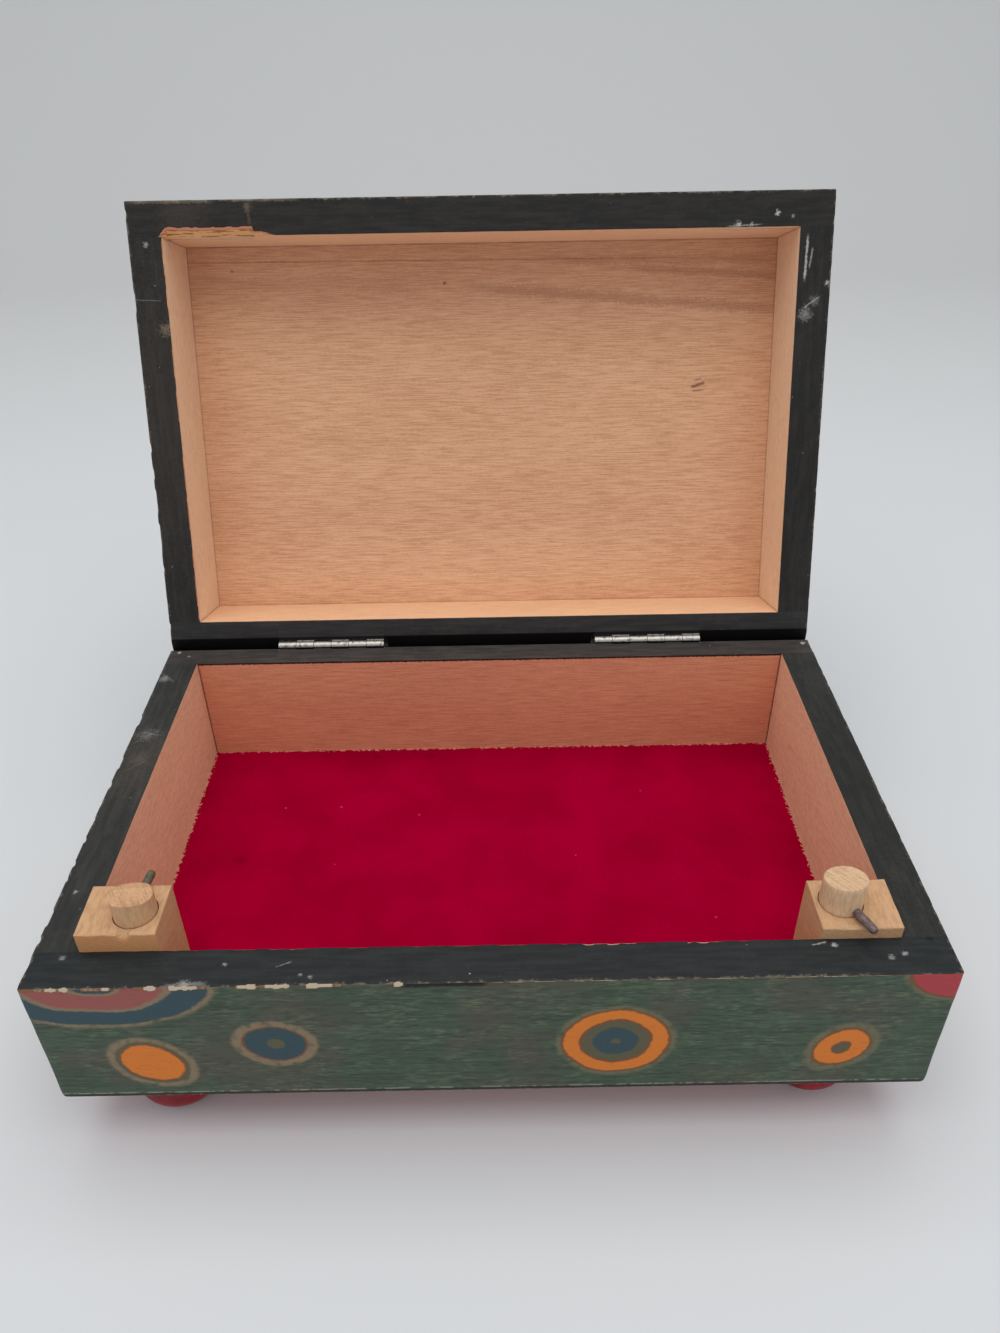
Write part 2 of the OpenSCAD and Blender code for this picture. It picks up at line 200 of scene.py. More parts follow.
def carved(lines, pockets=()):
    """Corners and quads of a block on a grid, with box-shaped pockets cut out of it."""
    middles = [(axis[1:] + axis[:-1]) / 2 for axis in lines]
    cells = np.stack(np.meshgrid(*middles, indexing="ij"), axis=-1)
    solid = np.ones(cells.shape[:3], bool)
    for low, high in pockets:
        solid &= ~((cells > low) & (cells < high)).all(axis=-1)
    padded = np.pad(solid, 1)
    shape = [len(axis) for axis in lines]
    ids = np.arange(np.prod(shape)).reshape(shape)
    quads = []
    for axis in range(3):
        layers = np.moveaxis(padded, axis, 0)[:, 1:-1, 1:-1]
        grid = np.moveaxis(ids, axis, 0)
        before, after = layers[:-1], layers[1:]
        for show, outward in ((before & ~after, 1), (after & ~before, -1)):
            i, j, k = np.nonzero(show)
            ring = [grid[i, j, k], grid[i, j + 1, k], grid[i, j + 1, k + 1], grid[i, j, k + 1]]
            if (outward < 0) != (axis == 1):
                ring.reverse()
            quads.append(np.stack(ring, axis=1))
    quads = np.concatenate(quads)
    used, quads = np.unique(quads, return_inverse=True)
    points = np.stack(np.meshgrid(*lines, indexing="ij"), axis=-1).reshape(-1, 3)[used]
    return points, quads.reshape(-1, 4)


def outer_face(axis, side):
    """A side of the box as part of an edge: its axis, its place and the way in."""
    return axis, side * box_outer[axis], -side


def edge_distances(points, edge):
    """How far each point lies from the two faces that meet at an edge."""
    (axis, place, side), (other_axis, other_place, other_side) = edge
    return (points[:, axis] - place) * side, (points[:, other_axis] - other_place) * other_side


def shift_from_edge(points, edge, chosen, first, second):
    """Moves the chosen points away from the two faces of an edge."""
    (axis, _, side), (other_axis, _, other_side) = edge
    points[chosen, axis] += first[chosen] * side
    points[chosen, other_axis] += second[chosen] * other_side


def soften(points, edge, radius):
    """Rounds one straight edge to a radius that may change along it."""
    radius = np.broadcast_to(radius, len(points))
    first, second = edge_distances(points, edge)
    near = (np.minimum(first, second) > -HAIR) & (np.maximum(first, second) < radius)
    out_first = radius - first
    out_second = radius - second
    keep = np.minimum(1, radius / np.maximum(np.hypot(out_first, out_second), TINY))
    shift_from_edge(points, edge, near, out_first * (1 - keep), out_second * (1 - keep))


def chamfer(points, edge, first_leg, second_leg):
    """Cuts one straight edge off at a slant, with legs that may change along it. Gives what it moved."""
    first_leg = np.broadcast_to(np.maximum(first_leg, TINY), len(points))
    second_leg = np.broadcast_to(np.maximum(second_leg, TINY), len(points))
    first, second = edge_distances(points, edge)
    short = 1 - first / first_leg - second / second_leg
    near = (np.minimum(first, second) > -HAIR) & (short > -HAIR)
    shift_from_edge(points, edge, near, short * first_leg / 2, short * second_leg / 2)
    return near


def smooth_mesh(name, points, faces):
    """A mesh from points in metres, shaded smooth."""
    mesh = bpy.data.meshes.new(name)
    mesh.from_pydata(points, [], faces)
    mesh.polygons.foreach_set("use_smooth", [True] * len(mesh.polygons))
    return mesh


def placed(name, data):
    """Puts a mesh, a lamp or a camera into the scene."""
    made = bpy.data.objects.new(name, data)
    bpy.context.scene.collection.objects.link(made)
    return made


def piece(name, points, faces, home, finish, body, node, bare=None):
    """Makes one piece of the box from points in its own coordinates and seats it on its body."""
    mesh = smooth_mesh(name, (points * MM).tolist(), np.asarray(faces, dtype=object).tolist())
    mesh.set_sharp_from_angle(angle=SHARP_BEND)
    if bare is not None:
        layer = mesh.attributes.new("bare", "FLOAT", "POINT")
        layer.data.foreach_set("value", np.clip(bare, 0, 1).astype(np.float32))
    mesh.materials.append(finish)
    made = placed(name, mesh)
    made.matrix_world = home
    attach(made, body)
    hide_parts(node)
    return made


# Shader maths
def arithmetic(operation):
    """The plain and the reflected method that add one Math node."""

    def plain(self, other):
        return self.finish.math(operation, self, other)

    def reflected(self, other):
        return self.finish.math(operation, other, self)

    return plain, reflected


class Wire:
    """A socket inside a finish. Python's operators on it add Math nodes."""

    __add__, __radd__ = arithmetic("ADD")
    __sub__, __rsub__ = arithmetic("SUBTRACT")
    __mul__, __rmul__ = arithmetic("MULTIPLY")
    __truediv__, __rtruediv__ = arithmetic("DIVIDE")

    def __init__(self, finish, socket):
        self.finish = finish
        self.socket = socket

    def __abs__(self):
        return self.finish.math("ABSOLUTE", self, 0)


class Finish:
    """One material, with the few node types that its colours and bumps are made of."""

    def __init__(self, name, fixed):
        self.material = bpy.data.materials.new(name)
        self.material.use_nodes = True
        self.tree = self.material.node_tree
        self.shader = self.tree.nodes["Principled BSDF"]
        for socket, value in fixed.items():
            self.shader.inputs[socket].default_value = value
        metres = self.node("ShaderNodeTexCoord", {}, {}, "Object")
        self.place = self.scaled(metres, (1 / MM,) * 3)
        axes = [self.node("ShaderNodeSeparateXYZ", {}, {0: self.place}, axis) for axis in "XYZ"]
        self.x, self.y, self.z = axes

    def node(self, kind, settings, sockets, output=0):
        """Adds a node: its settings first, then the values or links of its sockets."""
        made = self.tree.nodes.new(kind)
        for name, value in settings.items():
            setattr(made, name, value)
        for key, value in sockets.items():
            if isinstance(value, Wire):
                self.tree.links.new(value.socket, made.inputs[key])
            else:
                made.inputs[key].default_value = value
        return Wire(self, made.outputs[output])

    def math(self, operation, first, second):
        return self.node("ShaderNodeMath", {"operation": operation}, {0: first, 1: second})

    def least(self, first, second):
        return self.math("MINIMUM", first, second)

    def most(self, first, second):
        return self.math("MAXIMUM", first, second)

    def scaled(self, spot, scale):
        return self.node("ShaderNodeVectorMath", {"operation": "MULTIPLY"}, {0: spot, 1: scale})

    def spot(self, x, y, z):
        return self.node("ShaderNodeCombineXYZ", {}, {"X": x, "Y": y, "Z": z})

    def noise(self, spot, scale, detail=2, rough=0.5):
        sockets = {"Vector": spot, "Scale": scale, "Detail": detail, "Roughness": rough}
        return self.node("ShaderNodeTexNoise", {}, sockets, "Fac")

    def grained(self, grain, along, across, scale, detail, rough=0.5):
        """Noise that is drawn out along a grain."""
        return self.noise(self.scaled(grain, (along, across, across)), scale, detail, rough)

    def step(self, value, low, high):
        """0 where the value is at low, 1 where it is at high, smooth between."""
        settings = {"interpolation_type": "SMOOTHSTEP"}
        return self.node("ShaderNodeMapRange", settings, {"Value": value, "From Min": low, "From Max": high})

    def band(self, value, low, high, soft):
        """1 between low and high, fading out on both sides."""
        return self.step(value, low - soft, low + soft) * self.step(value, high + soft, high - soft)

    def mix(self, under, over, share):
        settings = {"data_type": "RGBA", "clamp_factor": True}
        return self.node("ShaderNodeMix", settings, {0: share, 6: under, 7: over}, 2)

    def blend(self, under, over, share):
        """The same for plain numbers."""
        return under + (over - under) * share

    def round_corners(self, run):
        """How far along a long wall a place is, carried on round the corners over the wall's ends."""
        return run + self.math("SIGN", run, 0) * (half_d - abs(self.y))

    def distance(self, first, second):
        return self.math("SQRT", first * first + second * second, 0)

    def repeat(self, value, pitch):
        """A coordinate that starts again from minus half a pitch, every pitch."""
        return self.math("FLOORED_MODULO", value + pitch / 2, pitch) - pitch / 2

    def inset(self, outline):
        """How far inside an oblong outline a place lies, given half its width and depth."""
        return self.least(outline[0] - abs(self.x), outline[1] - abs(self.y))

    def away(self, place):
        """How far from a place in x and y."""
        return self.distance(self.x - place[0], self.y - place[1])

    def smudge(self, place, size, rag):
        """1 in a ragged spot round a place in x and y."""
        return self.step(self.away(place) + (rag - 0.5) * size * 4, size * 1.4, size * 0.2)

    def streak(self, start, end, half, rag):
        """1 along a line between two places in x and y, ragged at its sides and fading at its ends."""
        run = math.hypot(end[0] - start[0], end[1] - start[1])
        ahead = ((end[0] - start[0]) / run, (end[1] - start[1]) / run)
        x = self.x - start[0]
        y = self.y - start[1]
        along = x * ahead[0] + y * ahead[1]
        across = abs(y * ahead[0] - x * ahead[1]) + (rag - 0.5) * half * 4
        return self.step(across, half * 1.4, half * 0.3) * self.band(along, 0, run, run * 0.12)

    def facing_up(self):
        """1 on faces that look up, 0 on upright ones."""
        normal = self.node("ShaderNodeNewGeometry", {}, {}, "True Normal")
        return self.step(self.node("ShaderNodeSeparateXYZ", {}, {0: normal}, "Z"), 0.6, 0.8)

    def bare(self):
        """Where the paint is gone, as the piece's own mesh says."""
        return self.node("ShaderNodeAttribute", {"attribute_name": "bare"}, {}, "Fac")

    def surface(self, colour, roughness, height):
        """Joins the colour, the roughness and a height in millimetres to the shader."""
        bump = self.node("ShaderNodeBump", {}, {"Height": height, "Distance": MM, "Strength": 1.0}, "Normal")
        for socket, wire in (("Base Color", colour), ("Roughness", roughness), ("Normal", bump)):
            self.tree.links.new(wire.socket, self.shader.inputs[socket])
        return self.material


def tint(red, green, blue):
    """A colour from its 0 to 255 screen values."""
    levels = [level / 255 for level in (red, green, blue)]
    linear = [v / 12.92 if v <= 0.04045 else ((v + 0.055) / 1.055) ** 2.4 for v in levels]
    return (*linear, 1.0)


# Colours as painted
ROOF_WOOD = (tint(234, 187, 150), tint(202, 150, 114), tint(148, 98, 70))
# The lid's front wall is lightened as painted light, since it faces down into shade with the lid open
LID_FRONT_WOOD_PAINTED_LIGHT = (tint(252, 220, 186), tint(242, 206, 170), tint(188, 140, 106))
LID_BACK_WOOD = (tint(246, 203, 164), tint(224, 178, 138), tint(166, 116, 84))
LID_SIDE_WOOD = (tint(247, 217, 186), tint(230, 196, 162), tint(176, 130, 98))
# The base's front and back walls are reddened inside as a painted reflection of the velvet
BASE_LONG_WOOD_RED_REFLECTION = (tint(234, 166, 130), tint(206, 138, 106), tint(152, 90, 66))
BASE_SIDE_WOOD = (tint(246, 202, 168), tint(222, 174, 140), tint(166, 112, 84))
BLOCK_WOOD = (tint(206, 166, 127), tint(186, 145, 106), tint(142, 98, 62))
LEFT_DOWEL_WOOD = (tint(212, 170, 132), tint(190, 147, 108), tint(146, 102, 68))
RIGHT_DOWEL_WOOD = (tint(222, 189, 154), tint(204, 167, 129), tint(156, 114, 78))
LID_CHIP = (tint(226, 178, 122), tint(150, 98, 62))
BASE_CHIP = (tint(182, 170, 148), tint(122, 86, 64))
TORN_EDGE = tint(222, 152, 120)
WARM_SHADE_WOOD = tint(207, 141, 85)
LID_BLACK = (tint(34, 33, 32), tint(47, 45, 43))
FRONT_BLACK = (tint(30, 34, 35), tint(42, 45, 46))
LID_BACK_BLACK = (tint(44, 43, 43), tint(58, 57, 56))
BACK_BLACK = (tint(54, 50, 49), tint(72, 67, 64))
SIDE_BLACK = (tint(40, 41, 40), tint(56, 55, 53))
GAP_SHADE_BLACK = tint(5, 5, 5)
SEAM_BROWN = tint(84, 50, 36)
DRIP_AND_SHADE_BROWN = tint(46, 22, 17)
LINT = tint(198, 66, 88)
FRAYED = tint(200, 138, 116)
WORN_PILE = tint(70, 2, 18)
DUST = tint(190, 187, 182)
GRIME = tint(140, 122, 104)
SOOT_AND_SHADE = tint(18, 17, 17)
GREEN = tint(70, 86, 70)
DARK_GREEN = tint(48, 61, 51)
PALE_GREEN = tint(114, 126, 98)
BROWN_GREEN = tint(84, 78, 68)
RUBBED_GREEN = tint(164, 164, 146)
TAN = tint(134, 116, 92)
FAINT_TAN = tint(108, 104, 80)
BROWN_LINE = tint(118, 78, 50)
ORANGE = tint(214, 120, 42)
BLUE = tint(52, 75, 82)
OLIVE = tint(92, 88, 66)
PINK = tint(170, 62, 68)
ROSE = tint(150, 84, 80)
RED_PAINT = (tint(150, 10, 28), tint(118, 6, 20))
UNDER_RED = (tint(206, 20, 44), tint(182, 14, 36))
VELVET = (tint(158, 0, 45), tint(143, 0, 38))
BRIGHT_STEEL = tint(176, 172, 166)
DULL_STEEL = tint(96, 90, 84)

# Ornament: a centre, how much narrower, lower and more slanted than round it is, and its rings from the
# outside in
FRONT_MOTIFS = (
    ((-76.5, 13.5), (0.94, 1.02, 0.22), ((9.2, TAN), (7.6, OLIVE), (6.8, BROWN_LINE), (6.4, ORANGE))),
    ((-47.9, 19.6), (0.96, 1.12, 0.08), ((9, TAN), (6.9, BROWN_LINE), (6.4, BLUE), (1.9, OLIVE))),
    ((27.5, 18.2), (0.96, 1.05, 0), (
        (13, FAINT_TAN), (11.9, BROWN_LINE), (11.3, ORANGE), (8.1, BROWN_LINE), (7.4, OLIVE), (5.1, BLUE),
        (1.5, OLIVE),
    )),
    ((78.2, 14.5), (1.04, 0.98, -0.22), (
        (8.4, FAINT_TAN), (6.6, BROWN_LINE), (5.9, ORANGE), (2.2, BROWN_LINE), (1.6, OLIVE),
    )),
    ((98.8, 40.4), (1, 1.2, 0), ((11.6, FAINT_TAN), (10.6, BROWN_LINE), (9.7, PINK))),
    ((-84, 40.5), (0.55, 1, 0), (
        (14.4, TAN), (13.5, BLUE), (9.2, TAN), (8.4, ROSE), (3.6, TAN), (2.8, BLUE),
    )),
)
BACK_MOTIFS = (
    ((0, 19), (1, 1, 0), ((12.4, BROWN_LINE), (11.6, BLUE), (6.6, TAN), (5.6, ORANGE), (2, OLIVE))),
    ((46, 19), (1, 1, 0), ((9.4, TAN), (8, OLIVE), (6.6, ORANGE), (2.4, BROWN_LINE))),
    ((96, 41), (0.7, 1, 0), ((15.6, TAN), (14.2, BLUE), (8.8, TAN), (7.6, ROSE))),
)
SIDE_MOTIFS = (
    ((0, 19), (1, 1, 0), ((11, BROWN_LINE), (10.2, ORANGE), (6.6, OLIVE), (4.4, BLUE))),
    ((38, 15), (1, 1, 0), ((8, TAN), (6.4, BLUE), (2.4, ORANGE))),
)
LID_DOT = ((0, 0), (1, 1, 0), ((4.6, TAN), (3.7, ORANGE), (1.4, OLIVE)))
LID_DOT_PITCH = 22
ROOF_MOTIFS = (
    ((0, 0), (1, 1, 0), ((27, TAN), (25.6, ORANGE), (17.4, TAN), (16.2, OLIVE), (10.8, BLUE), (3.6, TAN))),
    ((54, 0), (1, 1, 0), ((12.6, TAN), (11.2, BLUE), (5.6, TAN), (4.4, ORANGE))),
    ((92, 57.5), (1, 1, 0), ((25, TAN), (23.6, BLUE), (15, TAN), (13.6, ROSE), (6, ORANGE))),
)
ROOF_BORDER = (6.4, 7.8)
BRUSH_EDGE = 0.3
HALO_EDGE = 0.6

# Marks on the rims and the roof: the place of a spot or the ends of a scratch, a size, a paint and its share
FRONT_MARKS = (
    ((-64.8, -64.8), 1.3, DUST, 0.3), ((-57.2, -59.5), 0.5, DUST, 0.5), ((-38.3, -63.3), 0.5, DUST, 0.5),
    ((74.8, -57.3), 0.6, DUST, 0.7), ((89.2, -59.8), 0.6, DUST, 0.5), ((86, -60.8), 0.7, DUST, 0.35),
    ((95.9, -56.1), 0.9, SOOT_AND_SHADE, 0.9), ((-93, -57), 0.7, DUST, 0.45), ((-40.5, -62.6), 0.4, DUST, 0.4),
    ((-46, -60.5), (-43, -59.2), 0.14, DUST, 0.35), ((70, -57.2), (73, -56.4), 0.2, DUST, 0.5),
    ((-68.5, -65), (-60.5, -64.5), 0.6, DUST, 0.25),
)
BACK_MARKS = (
    ((98, 60.9), 0.7, DUST, 0.8), ((-97, 61.5), 0.5, DUST, 0.7), ((-93.5, 59.5), 0.4, DUST, 0.5),
)
BASE_SIDE_MARKS = (
    # The broad dark patch at (95, -5), over the right rim, is painted shade
    ((-94, 8), 14, GRIME, 0.07), ((-96.5, -38), 0.6, DUST, 0.5), ((95, -5), 50, SOOT_AND_SHADE, 0.4),
    ((-98.2, 47.5), 1.4, DUST, 0.3), ((-95.8, 20.5), 2.6, DUST, 0.12), ((-95, 10), 2.4, GRIME, 0.14),
    ((-98.5, 17), (-93, 22.4), 0.14, DUST, 0.16), ((-97.5, 21.6), (-92, 20.2), 0.12, DUST, 0.2),
    ((-99, 50), (-95, 46), 0.3, DUST, 0.12), ((-97.6, 5), (-93.4, 9), 0.14, GRIME, 0.2),
)
LID_FRONT_MARKS = (
    ((83.8, -59.5), 0.7, DUST, 0.9), ((72.7, -56.8), 0.8, DUST, 0.7), ((88.2, -58.6), 0.5, DUST, 0.4),
    ((76.5, -56.6), 0.6, DUST, 0.5), ((-65.6, -63.6), 1.2, GRIME, 0.25), ((-84, -62), 7, GRIME, 0.06),
    ((70, -56.2), (79, -56.6), 0.2, DUST, 0.4), ((-65.8, -64.6), (-65.2, -59), 0.5, GRIME, 0.16),
    ((-99, -65.2), (-76, -65), 0.5, GRIME, 0.35), ((-70, -65.3), (-52, -65.1), 0.4, GRIME, 0.35),
)
LID_SIDE_MARKS = (
    ((-91.6, -31), 1.8, GRIME, 0.5), ((99, -40.7), 0.7, DUST, 0.7), ((93.2, -32.4), 1.8, DUST, 0.35),
    ((-96, -5), 50, GRIME, 0.05), ((-95, -54), 0.7, DUST, 0.5), ((95.6, -36), 1.4, DUST, 0.2),
    ((92.7, -53), (92.4, -42), 0.34, DUST, 0.7), ((94.2, -50), (93.6, -45), 0.24, DUST, 0.4),
    ((-100, -39.3), (-92.6, -39), 0.16, DUST, 0.16), ((92.6, -34), (97, -37), 0.18, DUST, 0.4),
)
ROOF_DARK = ROOF_WOOD[2]
ROOF_MARKS = (
    ((-2, -42.8), (91, -35.2), 1.5, ROOF_DARK, 0.4), ((46, -47.8), (92, -45), 1.1, ROOF_DARK, 0.4),
    ((-91, -51.4), (60, -50.6), 0.2, SEAM_BROWN, 0.4),
    ((-90, -45.2), (-20, -44), 2, ROOF_DARK, 0.16),
    ((20, -50.6), (91, -50), 1.6, ROOF_DARK, 0.24),
    ((65.4, -12.2), (69.4, -13.6), 0.5, SEAM_BROWN, 0.7),
    ((65.8, -11), (69.2, -11.4), 0.3, SEAM_BROWN, 0.5),
    ((66.4, -14.2), (68.4, -15), 0.3, SEAM_BROWN, 0.5),
    ((-12.2, -44.4), (-11.4, -44.4), 0.4, SEAM_BROWN, 0.9),
    ((-77.2, -48.7), (-76.6, -48.7), 0.3, SEAM_BROWN, 0.8),
)

LONG_GRAIN = (0.12, 1, 1)
SIDE_GRAIN = (1, 0.12, 1)
UPRIGHT_GRAIN = (1, 1, 0.12)


def wood_coat(f, grain, tones):
    """Planed wood along a grain: a broad tone, fine lines and flecks. Gives colour and height."""
    light, mid, dark = tones
    broad = f.grained(grain, 0.2, 0.06, 1, 2)
    lines = f.grained(grain, 0.4, 1.2, 2.4, 1, 0.6)
    flecks = f.grained(grain, 1.4, 1.4, 2.2, 1)
    pores = f.grained(grain, 4.4, 2.6, 2.2, 1)
    colour = f.mix(light, mid, f.step(broad, 0.35, 0.65) * 0.16 + 0.2 + f.step(lines, 0.36, 0.62) * 0.5)
    colour = f.mix(colour, dark, f.step(lines, 0.56, 0.72) * 0.14 + f.step(flecks, 0.62, 0.76) * 0.16)
    colour = f.mix(colour, light, f.step(flecks, 0.4, 0.28) * 0.4)
    colour = f.mix(colour, dark, f.step(pores, 0.56, 0.74) * 0.24)
    colour = f.mix(colour, light, f.step(pores, 0.44, 0.26) * 0.45)
    return colour, flecks * 0.03 - lines * 0.05


def green_coat(f, grain):
    """Green stain brushed along the grain, with lighter and browner patches. Gives colour and hatching."""
    patches = f.grained(grain, 1, 0.16, 1, 3, 0.6)
    warm = f.grained(grain, 0.45, 0.05, 1, 2)
    hatch = f.grained(grain, 1.7, 1, 1.7, 3, 0.6)
    brushed = f.grained(grain, 0.5, 1, 1.2, 2, 0.6)
    colour = f.mix(GREEN, DARK_GREEN, f.step(brushed, 0.38, 0.7) * 0.6)
    colour = f.mix(colour, BROWN_GREEN, f.step(warm, 0.44, 0.66) * 0.65)
    colour = f.mix(colour, PALE_GREEN, f.step(hatch, 0.46, 0.72) * f.step(patches, 0.36, 0.66) * 0.62)
    colour = f.mix(colour, DARK_GREEN, f.step(hatch, 0.48, 0.3) * 0.5)
    return colour, hatch


def painted_rings(f, ground, along, up, shown, motifs):
    """Paints ringed motifs over a ground by hand, from the outside in, where shown is 1."""
    sway = f.noise(f.place, 0.1, 1) * 1.8 + f.noise(f.place, 0.7, 2) * 0.8 - 1.3
    thin = f.step(f.noise(f.place, 0.5, 3, 0.6), 0.2, 0.55) * shown
    for (middle, level), (wide, tall, slant), rings in motifs:
        rise = (up - level) * tall
        reach = f.distance((along - middle) * wide + rise * slant, rise) + sway
        for count, (radius, paint) in enumerate(rings):
            soft = BRUSH_EDGE if count else HALO_EDGE
            cover = shown if count else thin
            ground = f.mix(ground, paint, f.step(reach, radius + soft, radius - soft) * cover)
    return ground


def base_front_ornament(f, ground, run):
    """The front's rings, and paint from the rim smeared over the edge."""
    ground = painted_rings(f, ground, f.round_corners(run), f.z - floor_z, 1, FRONT_MOTIFS)
    hem = rim_z - f.z + f.noise(f.place, 0.5, 2)
    smear = f.band(f.x, *SMEAR_X, 1) * f.step(hem, SMEAR_DEPTH + 0.7, SMEAR_DEPTH)
    return f.mix(ground, SOOT_AND_SHADE, smear * 0.9)


def base_back_ornament(f, ground, run):
    return painted_rings(f, ground, abs(f.round_corners(run)), f.z - floor_z, 1, BACK_MOTIFS)


def base_side_ornament(f, ground, run):
    return painted_rings(f, ground, abs(run), f.z - floor_z, 1, SIDE_MOTIFS)


def lid_ornament(f, ground, run):
    """A row of dots round the outside of the lid's walls."""
    level = (lid_rim_z + lid_roof_z) / 2
    return painted_rings(f, ground, f.repeat(run, LID_DOT_PITCH), f.z - level, 1, (LID_DOT,))


def marked(f, ground, marks):
    """Smudges, specks and scratches on a flat face, placed by x and y."""
    grit = f.noise(f.place, 1.6, 4, 0.7)
    for *ends, size, paint, share in marks:
        draw = f.smudge if len(ends) == 1 else f.streak
        ground = f.mix(ground, paint, draw(*ends, size, grit) * share)
    return ground


class Carcass(NamedTuple):
    """What the four walls of the base or of the lid have in common."""

    body: str
    home: Matrix
    rim: float
    facing: int
    inner: tuple
    bevel: tuple
    seam: float
    chip: tuple
    seed: int

    def below(self, f):
        """How far a place lies behind the rim's plane."""
        return (self.rim - f.z) * self.facing

    def in_gap(self, f):
        """1 on the slope at the rear that the hinges sit in."""
        reach = (half_d - f.y) / self.bevel[0] + self.below(f) / self.bevel[1]
        return f.step(reach, 1.06, 1.0)


BASE = Carcass("base", BASE_HOME, rim_z, 1, base_inner, BASE_BEVEL, seam=0.7, chip=BASE_CHIP, seed=100)
LID = Carcass("lid", LID_HOME, lid_rim_z, -1, lid_inner, LID_BEVEL, seam=0.3, chip=LID_CHIP, seed=200)
SATIN = {"IOR": 1.45, "Specular IOR Level": 0.22}


def black_coat(f, grain, blacks, rag):
    """Black paint brushed along the grain, cloudy and dusty."""
    black = f.mix(*blacks, f.step(f.noise(grain, 0.8, 4, 0.6), 0.35, 0.75))
    black = f.mix(black, blacks[1], f.step(rag, 0.5, 0.75) * 0.6)
    flecks = f.step(f.noise(f.place, 1.9, 2), 0.66, 0.78)
    specks = f.step(f.noise(f.place, 0.8, 1), 0.8, 0.84)
    return f.mix(f.mix(black, GRIME, flecks * 0.16), DUST, specks * 0.6)


def carcass_finish(name, along, carcass, wood_tones, blacks, drip, ornament, marks):
    """Walls along one axis of the base or the lid: stained outside, black on the rim, bare wood inside."""
    f = Finish(name, SATIN)
    run = (f.x, f.y)[along]
    grain = f.scaled(f.place, (LONG_GRAIN, SIDE_GRAIN)[along])
    below = carcass.below(f)
    outside = f.inset(box_outer)
    inside = 0 - f.inset(carcass.inner)
    fine = f.noise(f.place, 1.1, 4, 0.6)
    rag = f.noise(f.place, 0.35, 3)
    wood, height = wood_coat(f, grain, wood_tones)
    corner = carcass.inner[along] - abs(run)
    wood = f.mix(wood, SEAM_BROWN, f.step(corner + (fine - 0.5) * 0.6, 0.5, 0.15) * carcass.seam)
    green, hatch = green_coat(f, grain)
    green = ornament(f, green, run)
    green = f.mix(green, DARK_GREEN, f.step(hatch, 0.45, 0.3) * 0.15)
    black = black_coat(f, grain, blacks, rag)
    black = marked(f, black, marks)
    rubbed = f.step(outside + (fine - 0.5) * 2.4, 0.7, 0.1) * f.step(rag, 0.44, 0.6)
    black = f.mix(black, GRIME, rubbed * 0.5)
    painted = f.step(outside - f.least(below, inside), 0.05, -0.05)
    lead = below - inside - (fine - 0.1) * drip
    # A thin dark brown line just below the black inside: paint run down over the edge, with painted shade
    # along it
    wood = f.mix(wood, DRIP_AND_SHADE_BROWN, f.step(lead, 0.55, 0.3) * min(1, drip))
    rimmed = f.step(lead, 0.08, -0.08) * (1 - painted)
    colour = f.mix(wood, green, painted)
    if carcass is BASE:
        colour = lower_edges(f, colour, rag, fine)
    colour = f.mix(colour, black, rimmed)
    # Painted shade: the slope at the rear that the hinges sit in is made near-black, as the deep shade of the
    # gap between lid and base
    colour = f.mix(colour, GAP_SHADE_BLACK, carcass.in_gap(f))
    worn = f.bare()
    gone = worn + (fine - 0.5) * 0.5
    pale, brown = carcass.chip
    if carcass is LID:
        fibres = f.noise(grain, 1.4, 3, 0.6)
        chip = f.mix(pale, brown, f.step(worn + (fibres - 0.5) * 1.8, 0.94, 0.82) * 0.85)
        chip = f.mix(chip, TORN_EDGE, f.step(worn + (fibres - 0.5) * 0.5, 0.82, 0.74))
    else:
        chip = f.mix(brown, pale, f.step(gone + (rag - 0.5) * 0.6, 0.6, 0.9))
    gone = f.step(gone, 0.35, 0.5)
    colour = f.mix(colour, chip, gone)
    shine = f.blend(0.62, 0.5, f.most(rimmed, painted)) + (fine - 0.5) * 0.2 + gone * 0.2
    return f.surface(colour, shine, height * (1 - rimmed * 0.5) + fine * 0.03 - gone * 0.08)


def lower_edges(f, colour, rag, fine):
    """The base's foot outside: a rubbed line, a dark one and red paint under the box."""
    outer = f.step(f.inset(box_outer), 6, 5)
    up = f.z - floor_z + (rag - 0.5) * 0.5
    rubbed = f.band(up, 1.9, 2.2, 0.2) * f.step(rag + fine * 0.5, 0.64, 0.8)
    colour = f.mix(colour, RUBBED_GREEN, rubbed * outer * 0.75)
    colour = f.mix(colour, SOOT_AND_SHADE, f.step(up, 1.8, 1.5) * outer * 0.75)
    colour = f.mix(colour, DUST, f.step(up + fine * 2 - 1, 0.7, 0.5) * outer * 0.6)
    return f.mix(colour, UNDER_RED[0], f.step(f.z - floor_z, 0.5, 0.38) * outer)


def panel_finish():
    """The lid's top panel: bare wood below, stained and painted outside."""
    f = Finish("lid_panel_finish", SATIN)
    grain = f.scaled(f.place, LONG_GRAIN)
    rag = f.noise(f.place, 0.35, 3)
    wood, height = wood_coat(f, grain, ROOF_WOOD)
    # Painted shade: the wood darkens towards the lid's front wall, where that wall shades the inside of the
    # open lid
    wood = f.mix(wood, ROOF_DARK, f.step(f.y, -15, -58) * 0.2)
    wood = marked(f, wood, ROOF_MARKS)
    wood = f.mix(wood, SEAM_BROWN, f.step(f.inset(lid_inner) + (rag - 0.5) * 0.4, 0.5, 0.1) * 0.35)
    green, hatch = green_coat(f, grain)
    edge = f.inset(box_outer) + (rag - 0.5) * 0.8
    green = f.mix(green, TAN, f.band(edge, *ROOF_BORDER, BRUSH_EDGE))
    green = painted_rings(f, green, abs(f.x), abs(f.y), f.step(edge, 7.6, 8.2), ROOF_MOTIFS)
    green = f.mix(green, DARK_GREEN, f.step(hatch, 0.45, 0.3) * 0.15)
    outer = f.step(f.z, lid_roof_z + 0.02, lid_roof_z + 0.05)
    shine = f.blend(0.62, 0.5, outer) + (hatch - 0.5) * 0.15
    return f.surface(f.mix(wood, green, outer), shine, height)


